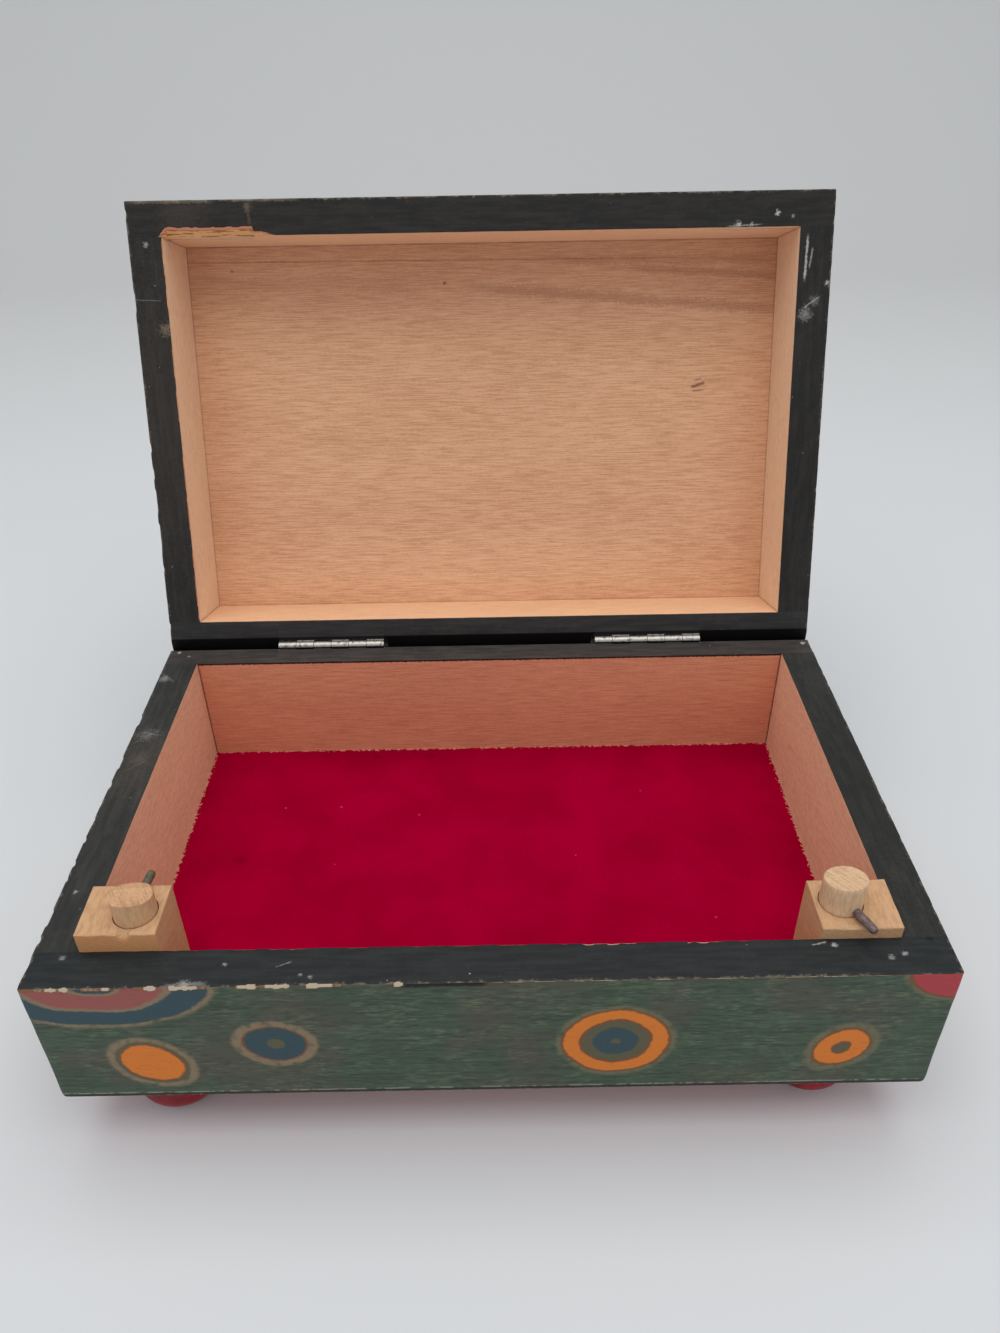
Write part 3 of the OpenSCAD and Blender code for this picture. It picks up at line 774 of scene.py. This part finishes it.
def pale_wood_finish(name, stretch, tones, sawn):
    """Bare wood of the blocks and dowels, with saw lines across the end grain of a sawn top."""
    f = Finish(name, {"IOR": 1.45, "Specular IOR Level": 0.25})
    wood, height = wood_coat(f, f.scaled(f.place, stretch), tones)
    kerf = f.noise(f.spot(f.x * 1.8 + f.y * 1.1, f.y * 0.12, 0), 1, 3)
    kerf = f.step(kerf, 0.5, 0.7) * f.facing_up() * sawn
    wood = f.mix(wood, tones[2], kerf * 0.45)
    # Painted shade and reflected light: the left block's front face is turned a darker, warmer brown
    shaded = f.step(f.y + base_inner[1], 0.5, 0.25) * f.step(f.x, 10, -10) * (1 - f.facing_up())
    wood = f.mix(wood, WARM_SHADE_WOOD, shaded * 0.6)
    shine = 0.62 + (f.noise(f.place, 0.8, 3) - 0.5) * 0.15
    return f.surface(wood, shine, height * 1.5 - kerf * 0.1)


WORN_PATCHES = (((-72.7, 6.4), 4), ((-37, 51.5), 3), ((-20, 51.5), 3), ((30, -38), 4))
LINT_SPECKS = (
    ((1.2, -38), 0.9), ((-1.5, -40.5), 0.6), ((-63, 28), 0.5), ((-46, 28), 0.6),
    ((-22, 24), 0.5), ((-57, -33), 0.5), ((-38, -39), 0.5), ((24, 6), 0.4),
    ((46, 33), 0.4), ((60, -18), 0.5), ((-45, 4), 0.3), ((33, -31), 0.4),
)


def velvet_finish():
    """Crimson velvet with a faintly brushed nap and a little lint."""
    f = Finish("velvet_finish", {"Sheen Weight": 0.3, "Sheen Roughness": 0.4, "Specular IOR Level": 0.0})
    f.shader.inputs["Sheen Tint"].default_value = tint(220, 20, 70)
    nap = f.noise(f.place, 0.05, 3)
    pile = f.noise(f.place, 2.2, 3, 0.7)
    colour = f.mix(*VELVET, f.step(nap, 0.3, 0.75))
    edge = f.inset(base_inner) + f.noise(f.place, 1.1, 3, 0.6) * 5 - 2.5
    colour = f.mix(colour, FRAYED, f.step(edge, 0.4, 0.2))
    for place, size in WORN_PATCHES:
        worn = f.step(f.away(place) + (nap - 0.5) * 8, size, 0)
        colour = f.mix(colour, WORN_PILE, worn * 0.4)
    for place, size in LINT_SPECKS:
        colour = f.mix(colour, LINT, f.step(f.away(place), size, size * 0.3) * 0.6)
    return f.surface(colour, 0.9 + (pile - 0.5) * 0.1, pile * 0.12)


def steel_finish(name, bright, dull, scale, metal):
    """Steel, bright where it is rubbed and dull elsewhere."""
    f = Finish(name, {"Metallic": metal})
    worn = f.noise(f.place, scale, 4, 0.6)
    colour = f.mix(bright, dull, f.step(worn, 0.4, 0.7))
    return f.surface(colour, 0.36 + worn * 0.25, worn * 0.03)


def hinge_finish(name, carcass, blacks, upward):
    """Hinge leaves: painted over with the rim, with knuckles of bright steel on their upper side as painted
    highlight, and black below as painted shade.
    """
    f = Finish(name, SATIN)
    out_y = f.y - hinge_y
    out_z = f.z - hinge_z
    worn = f.noise(f.place, 0.9, 4, 0.6)
    grain = f.noise(f.scaled(f.place, LONG_GRAIN), 0.7, 4, 0.6)
    knuckle = f.step(f.distance(out_y, out_z) + (worn - 0.5) * 0.4, 1.9, 1.6)
    # Painted highlight and shade: the knuckles are bright steel only on their upper side as the hinge stands,
    # black below
    bright = knuckle * f.step(out_y * upward[0] + out_z * upward[1] + (worn - 0.5) * 0.6, 0.3, 0.7)
    # Painted shade: on the rear slope the leaves take the near-black of the gap's deep shade
    black = f.mix(f.mix(*blacks, f.step(grain, 0.35, 0.75)), GAP_SHADE_BLACK, carcass.in_gap(f))
    steel = f.mix(BRIGHT_STEEL, DULL_STEEL, f.step(worn, 0.5, 0.72))
    f.tree.links.new(bright.socket, f.shader.inputs["Metallic"])
    return f.surface(f.mix(black, steel, bright), f.blend(0.55, 0.38, bright) + worn * 0.1, worn * 0.05)


def red_finish(name, reds, roughness):
    """Red paint on turned or planed wood."""
    f = Finish(name, {"IOR": 1.5, "Specular IOR Level": 0.3})
    cloudy = f.noise(f.place, 0.25, 3)
    return f.surface(f.mix(*reds, f.step(cloudy, 0.35, 0.7)), roughness + cloudy * 0.1, cloudy * 0.05)


def floor_finish():
    """Pale paper, a little darker where it rises behind the box, as painted shade on the upright part."""
    f = Finish("floor_finish", {"Roughness": 0.9, "Specular IOR Level": 0.1})
    colour = f.mix(tint(212, 214, 216), tint(206, 207, 207), f.step(f.y, 100, 700))
    f.tree.links.new(colour.socket, f.shader.inputs["Base Color"])
    return f.material


# Each wall's axis, carcass, wood, blacks, how far the black runs down inside, ornament and marks
WALL_LOOKS = (
    ("base_front", 0, BASE, BASE_LONG_WOOD_RED_REFLECTION, FRONT_BLACK, 0.1, base_front_ornament, FRONT_MARKS),
    ("base_back", 0, BASE, BASE_LONG_WOOD_RED_REFLECTION, BACK_BLACK, 1.0, base_back_ornament, BACK_MARKS),
    ("base_side", 1, BASE, BASE_SIDE_WOOD, SIDE_BLACK, 0.1, base_side_ornament, BASE_SIDE_MARKS),
    ("lid_front", 0, LID, LID_FRONT_WOOD_PAINTED_LIGHT, LID_BLACK, 0.15, lid_ornament, LID_FRONT_MARKS),
    ("lid_back", 0, LID, LID_BACK_WOOD, LID_BACK_BLACK, 0.15, lid_ornament, ()),
    ("lid_side", 1, LID, LID_SIDE_WOOD, LID_BLACK, 0.15, lid_ornament, LID_SIDE_MARKS),
)
wall_paint = {name: carcass_finish(name + "_paint", *look) for name, *look in WALL_LOOKS}
lid_panel_paint = panel_finish()
block_wood = pale_wood_finish("block_wood", SIDE_GRAIN, BLOCK_WOOD, sawn=0)
dowel_wood = {
    "left": pale_wood_finish("left_dowel_wood", UPRIGHT_GRAIN, LEFT_DOWEL_WOOD, sawn=1),
    "right": pale_wood_finish("right_dowel_wood", UPRIGHT_GRAIN, RIGHT_DOWEL_WOOD, sawn=1),
}
crimson_velvet = velvet_finish()
nail_steel = {
    "left": steel_finish("left_nail_steel", tint(104, 98, 80), tint(76, 70, 58), scale=0.8, metal=0.4),
    "right": steel_finish("right_nail_steel", tint(126, 106, 104), tint(88, 76, 76), scale=0.8, metal=0.5),
}
screw_steel = steel_finish("screw_steel", tint(190, 188, 182), tint(140, 136, 130), scale=0.6, metal=1.0)
base_hinge_steel = hinge_finish("base_hinge_steel", BASE, BACK_BLACK, upward=(0, 1))
# The lid's knuckles are painted bright on the side that faces up with the lid open, as painted highlight
open_upward = (-math.sin(lid_swing), math.cos(lid_swing))
lid_hinge_steel = hinge_finish("lid_hinge_steel", LID, LID_BACK_BLACK, upward=open_upward)
foot_red = red_finish("foot_red", RED_PAINT, roughness=0.3)
board_red = red_finish("board_red", UNDER_RED, roughness=0.5)


# Walls
def rim_edges(carcass):
    """The four outer rim edges of a carcass, each with the axis it runs along."""
    down = (2, carcass.rim, -carcass.facing)
    for side in (-1, 1):
        for axis in (0, 1):
            yield (outer_face(axis, side), down), 1 - axis


def worn_edges(points, carcass):
    """Rounds the rim's outer edges, its corners and its inner edges, with small notches."""
    seed = carcass.seed
    for count, (edge, run) in enumerate(rim_edges(carcass)):
        along = points[:, run]
        notches = fade(wave(along, 2.6, seed + count), 0.66, 0.85)
        deep = NOTCH_DEPTH if count else LEFT_NOTCH_DEPTH
        soften(points, edge, 0.22 + 0.15 * wave(along, 1.4, seed + 10 + count) + deep * notches)
    for x_side in (-1, 1):
        for y_side in (-1, 1):
            corner = outer_face(0, x_side), outer_face(1, y_side)
            soften(points, corner, 0.5 + 0.5 * wave(points[:, 2], 5, seed + 30))
    for side in (-1, 1):
        for axis, other in ((0, 1), (1, 0)):
            edge = ((axis, side * carcass.inner[axis], side), (2, carcass.rim, -carcass.facing))
            inside = np.abs(points[:, other]) < carcass.inner[other] - 0.2
            soften(points, edge, inside * (0.1 + 0.2 * wave(points[:, other], 3, seed + 40 + axis)))


def rounded_bottom(points, bare):
    """Rounds the lower outer edges of the base."""
    for side in (-1, 1):
        for axis, radius in enumerate((SIDE_BOTTOM_ROUND, FRONT_BOTTOM_ROUND)):
            soften(points, (outer_face(axis, side), (2, floor_z, 1)), radius)


def chipped_front(points, bare):
    """Chips along the base's front edge and along the inner edge of the same rim."""
    x = points[:, 0]
    ragged = 0.35 + 0.85 * wave(x, 0.8, 51)
    pale = within(x, FRONT_CHIPS, 0.4) * ragged
    brown = within(x, BROWN_CHIPS, 0.3) * fade(wave(x, 1.9, 54), 0.25, 0.55)
    rubbed = within(x, RUBBED_EDGE, 3) * fade(wave(x, 1.7, 52), 0.1, 0.4)
    size = np.maximum.reduce([pale, 0.7 * brown, 0.18 * rubbed])
    gone = chamfer(points, ((1, -half_d, 1), (2, rim_z, -1)), 0.55 * size, 0.95 * size)
    bare[gone] = np.maximum.reduce([1.2 * fade(pale, 0.2, 0.6), 0.62 * brown, 0.8 * rubbed])[gone]
    inner = within(x, INNER_CHIPS, 0.5) * (0.3 + 0.7 * wave(x, 1.2, 53))
    inner = np.maximum(inner, within(x, INNER_RUB, 4) * fade(wave(x, 2.3, 55), 0.4, 0.7) * 0.4)
    gone = chamfer(points, ((1, -base_inner[1], -1), (2, rim_z, -1)), 0.7 * inner, 0.6 * inner)
    bare[gone] = np.maximum(bare, 1.3 * inner)[gone]


def torn_lip(points, bare):
    """The torn bite out of the left slot's lip, forked at its right end. Bare is least on its upper side."""
    x = points[:, 0]
    start, end = CHIP_X
    fork = np.maximum(fade(x, end - 6.5, end - 7), 0.5 * fade(x, end, end - 5))
    size = fade(x, start - 0.2, start + 3) * fork * (0.8 + 0.15 * wave(x, 6, 71) + 0.1 * wave(x, 1.2, 72))
    edge = ((1, -lid_inner[1], -1), (2, lid_rim_z, 1))
    deep = edge_distances(points, edge)[0] / np.maximum(CHIP_DEPTH * size, 0.1)
    torn = chamfer(points, edge, CHIP_DEPTH * size, CHIP_HEIGHT * size)
    torn &= size > 0.02
    bare[torn] = np.clip(1 - 0.4 * deep, 0.6, 1)[torn]


def rubbed_inner_edge(points, bare):
    """The lid's left inner edge, rubbed down to the wood in a thin line."""
    along = points[:, 1]
    open_run = np.abs(along) < lid_inner[1] - 1
    size = open_run * (0.1 + 0.16 * fade(wave(along, 4, 81), 0.3, 0.6))
    gone = chamfer(points, ((0, -lid_inner[0], -1), (2, lid_rim_z, 1)), size, size)
    bare[gone & (size > 0)] = 0.85


def rear_bevel(carcass):
    """The slope that gives the hinge barrels and the open lid room, on a rear wall."""

    def shape(points, bare):
        edge = ((1, half_d, -1), (2, carcass.rim, -carcass.facing))
        chamfer(points, edge, *carcass.bevel)
        barrel_grooves(points)

    return shape


def barrel_grooves(points):
    """Pushes the wood clear of the hinge barrels."""
    middle = (leaf_low[0] + leaf_high[0]) / 2
    room = np.abs(np.abs(points[:, 0]) - middle) < (leaf_high[0] - leaf_low[0]) / 2 + GROOVE_END_ROOM
    out = points[:, 1:] - (hinge_y, hinge_z)
    reach = np.maximum(np.hypot(*out.T), TINY)
    near = room & (reach < BARREL_ROOM)
    points[near, 1:] += (out * (BARREL_ROOM / reach - 1)[:, None])[near]


def hinge_pockets(carcass):
    """The seats of both hinge leaves in a rear rim, as pockets."""
    low_x, high_x = leaf_low[0] - SEAT_ROOM, leaf_high[0] + SEAT_ROOM
    seat = sorted((carcass.rim - LEAF_SEAT * carcass.facing, carcass.rim + carcass.facing))
    pockets = []
    for side in (-1, 1):
        ends = sorted((side * low_x, side * high_x))
        pockets.append(((ends[0], leaf_low[1] - SEAT_ROOM, seat[0]), (ends[1], half_d + 1, seat[1])))
    return pockets


def latch_pockets():
    """The slots inside the lid's front wall that the latch nails turn into."""
    inner_y = -lid_inner[1]
    pockets = []
    for side in SIDES:
        nail = drawn_points(side + "_latch_nail")
        middle, axis_y = lock_axis(side)
        lowest, highest = nail[:, 2].min(), nail[:, 2].max()
        reach = np.hypot(*(nail[:, :2] - (middle, axis_y)).T).max()
        near = axis_y - inner_y
        half = math.sqrt(reach * reach - near * near) + (highest - lowest) / 2 + SLOT_END_ROOM
        low = (middle - half, inner_y - (reach - near) - SLOT_ROOM, lowest - SLOT_ROOM)
        high = (middle + half, inner_y + 1, highest + SLOT_ROOM)
        pockets.append((low, high))
    return pockets


def pocket_lines(pockets):
    """Grid lines that the given pockets need along each axis."""
    return [[corner[axis] for pocket in pockets for corner in pocket] for axis in range(3)]


def board(carcass, place, step, shapes=(), pockets=(), extra_y=(), extra_z=()):
    """One wall: a block with its pockets cut out, then shaped and worn."""
    name = carcass.body + "_" + place
    node = name + "_wall"
    finish = wall_paint[carcass.body + "_side" if place in SIDES else name]
    low, high = drawn_box(node, carcass.home)
    extra = pocket_lines(pockets)
    extra[1].extend(extra_y)
    extra[2].extend(extra_z)
    lines = [cut_lines(low[axis], high[axis], step[axis], extra[axis]) for axis in range(3)]
    points, quads = carved(lines, pockets)
    bare = np.zeros(len(points))
    for shape in shapes:
        shape(points, bare)
    worn_edges(points, carcass)
    piece(name + "_board", points, quads, carcass.home, finish, carcass.body, node, bare)


def rear_board(carcass, *shapes):
    """A rear wall, with its slope and the seats of both hinges."""
    deep, tall = carcass.bevel
    lines = [half_d - deep], [carcass.rim - carcass.facing * tall]
    board(carcass, "back", REAR_STEP, [rear_bevel(carcass), *shapes], hinge_pockets(carcass), *lines)


def walls():
    """The four walls of the base and of the lid."""
    torn_lines = -lid_inner[1] - CHIP_LINES, lid_rim_z + CHIP_LINES
    board(BASE, "front", FRONT_STEP, [chipped_front, rounded_bottom])
    for side in SIDES:
        board(BASE, side, SIDE_STEP, [rounded_bottom])
    board(LID, "front", FRONT_STEP, [torn_lip], latch_pockets(), *torn_lines)
    board(LID, "left", SIDE_STEP, [rubbed_inner_edge])
    board(LID, "right", SIDE_STEP)
    rear_board(BASE, rounded_bottom)
    rear_board(LID)


def lid_panel():
    """The lid's top, rounded along its upper edges and corners."""
    lines = [cut_lines(panel_low[axis], panel_high[axis], PANEL_STEP) for axis in range(3)]
    points, quads = carved(lines)
    for side in (-1, 1):
        for axis in (0, 1):
            soften(points, (outer_face(axis, side), (2, lid_top_z, -1)), TOP_ROUND)
        for y_side in (-1, 1):
            soften(points, (outer_face(0, side), outer_face(1, y_side)), TOP_CORNER_ROUND)
    piece("lid_top_board", points, quads, LID_HOME, lid_panel_paint, "lid", "lid_top_panel")


def velvet_floor():
    """The velvet, cut round the lock blocks."""
    block_low, block_high = drawn_box("right_lock_block")
    notch_x = block_low[0] - NOTCH_ROOM
    notch_y = block_high[1] + NOTCH_ROOM
    node = "velvet_lining"
    low, high = drawn_box(node)
    pockets = [
        ((-half_w, -half_d, 0), (-notch_x, notch_y, rim_z)),
        ((notch_x, -half_d, 0), (half_w, notch_y, rim_z)),
    ]
    lines = [
        cut_lines(low[0], high[0], VELVET_STEP, (-notch_x, notch_x)),
        cut_lines(low[1], high[1], VELVET_STEP, (notch_y,)),
        np.array([low[2], (low[2] + high[2]) / 2, high[2]]),
    ]
    points, quads = carved(lines, pockets)
    for axis in (0, 1):
        edge = np.abs(points[:, axis]) > high[axis] - HAIR
        points[edge, axis] = np.sign(points[edge, axis]) * (base_inner[axis] - SEAT_ROOM)
    cloth = piece("velvet_floor", points, quads, BASE_HOME, crimson_velvet, "base", node)
    size = (high - low) * MM
    notch = (high[0] - notch_x) * (notch_y - low[1]) * MM * MM
    size[0] * size[1] - 2 * notch


# Latches and hinges
def skinned(rows, sides):
    """Faces of a tube of closed rings, one after another, capped at both ends."""
    faces = []
    for start in range(0, (rows - 1) * sides, sides):
        for n in range(sides):
            m = (n + 1) % sides
            faces.append([start + n, start + m, start + sides + m, start + sides + n])
    faces.append(list(range(sides))[::-1])
    faces.append([(rows - 1) * sides + n for n in range(sides)])
    return faces


def circle(sides):
    turn = np.arange(sides) * 2 * math.pi / sides
    return np.stack([np.cos(turn), np.sin(turn)], axis=1)


def turned(profile, axis, sides):
    """Corners and faces of a turned piece: a profile of radius and height round an upright axis."""
    around = circle(sides)
    points = [np.column_stack([around * radius + axis, np.full(sides, z)]) for radius, z in profile]
    return np.concatenate(points), skinned(len(profile), sides)


def lock_dowel(side):
    """A dowel with a slanted top, sawn flat on the right and broken off rough on the left."""
    node = side + "_lock_dowel"
    low, high = drawn_box(node)
    axis = lock_axis(side)
    radius = (high[0] - low[0]) / 2
    slant, heading = (math.radians(angle) for angle in SAW_CUTS[side])
    top = high[2] - radius * math.tan(slant)
    profile = [(radius, z) for z in np.linspace(low[2], top - 0.3, DOWEL_ROWS)]
    profile += [(radius - 0.1, top - 0.08)]
    profile += [(radius * share, top) for share in np.linspace(0.95, 0.03, DOWEL_TOP_ROWS)]
    points, faces = turned(profile, axis, TURNED_SIDES)
    out = points[:, :2] - axis
    away = out @ (math.cos(heading), math.sin(heading))
    across = out @ (-math.sin(heading), math.cos(heading))
    lean = fade(points[:, 2], top - 8, top - 1)
    rough = ROUGH_TOP[side] * (wave(away + 0.4 * across, 1.3, 91) - 0.8)
    rough *= fade(points[:, 2], top - 0.6, top - 0.1)
    points[:, 2] += rough - away * math.tan(slant) * lean
    piece(side + "_dowel", points, faces, BASE_HOME, dowel_wood[side], side + "_lock", node)


def lock_block(side):
    """A block with a bore for the dowel and splintered upper edges."""
    node = side + "_lock_block"
    low, high = drawn_box(node)
    lines = [cut_lines(low[axis], high[axis], step) for axis, step in enumerate(BLOCK_STEP)]
    points, quads = carved(lines)
    chip_x, chip_half, chip_size = BLOCK_CHIPS[side]
    chip = fade(np.abs(points[:, 0] - chip_x), chip_half, chip_half * 0.4) * chip_size
    front = ((1, low[1], 1), (2, high[2], -1))
    ragged = 0.2 + 0.5 * wave(points[:, 0], 1.6, 301)
    chamfer(points, front, ragged + chip, 0.8 * ragged + 1.2 * chip)
    for x_place, x_side in ((low[0], 1), (high[0], -1)):
        soften(points, ((0, x_place, x_side), (2, high[2], -1)), 0.2 + 0.3 * wave(points[:, 1], 3, 300))
        soften(points, ((0, x_place, x_side), (1, low[1], 1)), 0.3)
    soften(points, ((1, high[1], -1), (2, high[2], -1)), 0.2 + 0.3 * wave(points[:, 0], 3, 302))
    block = piece(side + "_block", points, quads, BASE_HOME, block_wood, "base", node)
    profile = [(BORE, low[2] - 1), (BORE, high[2] - MOUTH_DEPTH), (MOUTH, high[2]), (MOUTH, high[2] + 2)]
    bored(block, *turned(profile, lock_axis(side), TURNED_SIDES))


def bored(block, points, faces):
    """Cuts a turned shape out of a block and keeps the result as its mesh."""
    mesh = bpy.data.meshes.new("bore")
    mesh.from_pydata((points * MM).tolist(), [], faces)
    cutter = placed("bore", mesh)
    cutter.matrix_world = BASE_HOME
    cut = block.modifiers.new("bore", "BOOLEAN")
    cut.object = cutter
    cut.operation = "DIFFERENCE"
    cut.solver = "EXACT"
    bpy.context.view_layer.update()
    graph = bpy.context.evaluated_depsgraph_get()
    block.data = bpy.data.meshes.new_from_object(block.evaluated_get(graph))
    block.modifiers.clear()
    bpy.data.objects.remove(cutter)


def latch_nail(side):
    """A cut nail through the dowel, rounded off at its end."""
    node = side + "_latch_nail"
    nail = drawn_points(node)
    axis = lock_axis(side)
    heading = nail[:, :2].mean(axis=0) - axis
    heading = heading / np.linalg.norm(heading)
    along = (nail[:, :2] - axis) @ heading
    radius = (nail[:, 2].max() - nail[:, 2].min()) / 2
    level = (nail[:, 2].max() + nail[:, 2].min()) / 2
    across = np.array([-heading[1], heading[0]])
    end = along.max()
    shaft = np.linspace(along.min(), end - NAIL_END, NAIL_ROWS)
    stations = np.concatenate([shaft, end - NAIL_END_ROWS])
    around = circle(NAIL_SIDES)
    rows = []
    for place in stations:
        left = min(1, (end - place) / NAIL_END)
        size = radius * (NAIL_POINT + (1 - NAIL_POINT) * math.sqrt(1 - (1 - left) ** 2))
        ring = axis + heading * place + np.outer(around[:, 0] * size, across)
        rows.append(np.column_stack([ring, level + around[:, 1] * size]))
    points = np.concatenate(rows)
    faces = skinned(len(stations), NAIL_SIDES)
    piece(side + "_nail", points, faces, BASE_HOME, nail_steel[side], side + "_lock", node)


def hinge_metal(name, node, carcass, finish):
    """A hinge leaf or a set of brads as drawn, restated in the box's own coordinates."""
    drawn = np.round(drawn_points(node, carcass.home), 4)
    points, merged = np.unique(drawn, axis=0, return_inverse=True)
    merged = merged.reshape(-1)
    faces = [[int(merged[corner]) for corner in face.vertices] for face in frame["nodes"][node].data.polygons]
    piece(name, points, faces, carcass.home, finish, carcass.body, node)


def dress(finish, *nodes):
    """Gives CAD nodes whose shape is right a finish."""
    for node in nodes:
        shown = frame["nodes"][node]
        shown.data.materials.clear()
        shown.data.materials.append(finish)


walls()
lid_panel()
velvet_floor()
for side in SIDES:
    lock_block(side)
    lock_dowel(side)
    latch_nail(side)
    hinge_metal(side + "_base_hinge_plate", side + "_hinge_base_leaf", BASE, base_hinge_steel)
    hinge_metal(side + "_lid_hinge_plate", side + "_hinge_lid_leaf", LID, lid_hinge_steel)
    hinge_metal(side + "_hinge_rod", side + "_hinge_pin", BASE, base_hinge_steel)
    dress(foot_red, side + "_lock_foot", "rear_" + side + "_foot")
hinge_metal("base_brad_heads", "base_hinge_brads", BASE, base_hinge_steel)
hinge_metal("lid_brad_heads", "lid_hinge_brads", LID, lid_hinge_steel)
dress(screw_steel, "rear_foot_screws")
dress(board_red, "bottom_board")


# Stage, light and camera
FLOOR_FRONT = -2.0
FLOOR_BACK = 0.7
FLOOR_HALF = 2.5
BEND = 0.5
BEND_STEPS = 24
BACKDROP_TOP = 2.5


def backdrop():
    """A pale floor that curves up behind the box."""
    profile = [(FLOOR_FRONT, 0.0), (FLOOR_BACK, 0.0)]
    for step in range(1, BEND_STEPS + 1):
        turn = step / BEND_STEPS * math.pi / 2
        profile.append((FLOOR_BACK + BEND * math.sin(turn), BEND - BEND * math.cos(turn)))
    profile.append((FLOOR_BACK + BEND, BACKDROP_TOP))
    points = [(x, y, z) for y, z in profile for x in (-FLOOR_HALF, FLOOR_HALF)]
    faces = [[2 * n, 2 * n + 1, 2 * n + 3, 2 * n + 2] for n in range(len(profile) - 1)]
    mesh = smooth_mesh("backdrop", points, faces)
    mesh.materials.append(floor_finish())
    placed("backdrop", mesh)


def lamp(name, place, aim, size, power, colour):
    """A square lamp turned to where it aims."""
    data = bpy.data.lights.new(name, "AREA")
    data.shape = "SQUARE"
    data.size = size
    data.energy = power
    data.color = colour
    made = placed(name, data)
    made.location = place
    made.rotation_euler = (Vector(aim) - Vector(place)).to_track_quat("-Z", "Y").to_euler()


def room(colour, strength):
    """Even light from all round."""
    world = bpy.data.worlds.new("room")
    world.use_nodes = True
    background = world.node_tree.nodes["Background"]
    background.inputs["Color"].default_value = colour
    background.inputs["Strength"].default_value = strength
    bpy.context.scene.world = world


CAMERA_PLACE = (2.986, -203.619, 232.04)
CAMERA_PITCH = math.radians(34.77)
CAMERA_YAW = math.radians(0.05)
CAMERA_ROLL = math.radians(0.98)
CAMERA_LENS = 27.496
CAMERA_SENSOR = 36
CAMERA_NEAR = 0.01


def camera():
    """The photograph's viewpoint."""
    data = bpy.data.cameras.new("camera")
    data.lens = CAMERA_LENS
    data.sensor_width = CAMERA_SENSOR
    data.clip_start = CAMERA_NEAR
    made = placed("camera", data)
    turn = (
        Matrix.Rotation(-CAMERA_YAW, 4, "Z")
        @ Matrix.Rotation(math.pi / 2 - CAMERA_PITCH, 4, "X")
        @ Matrix.Rotation(-CAMERA_ROLL, 4, "Z")
    )
    made.matrix_world = Matrix.Translation(BASE_HOME @ (Vector(CAMERA_PLACE) * MM)) @ turn
    bpy.context.scene.camera = made


backdrop()
lamp("overhead", place=(0, -0.05, 1), aim=(0, 0, 0), size=1, power=6, colour=(1, 0.99, 0.97))
room(colour=(0.95, 0.97, 1, 1), strength=0.7)
camera()
bpy.context.scene.view_settings.view_transform = "Standard"
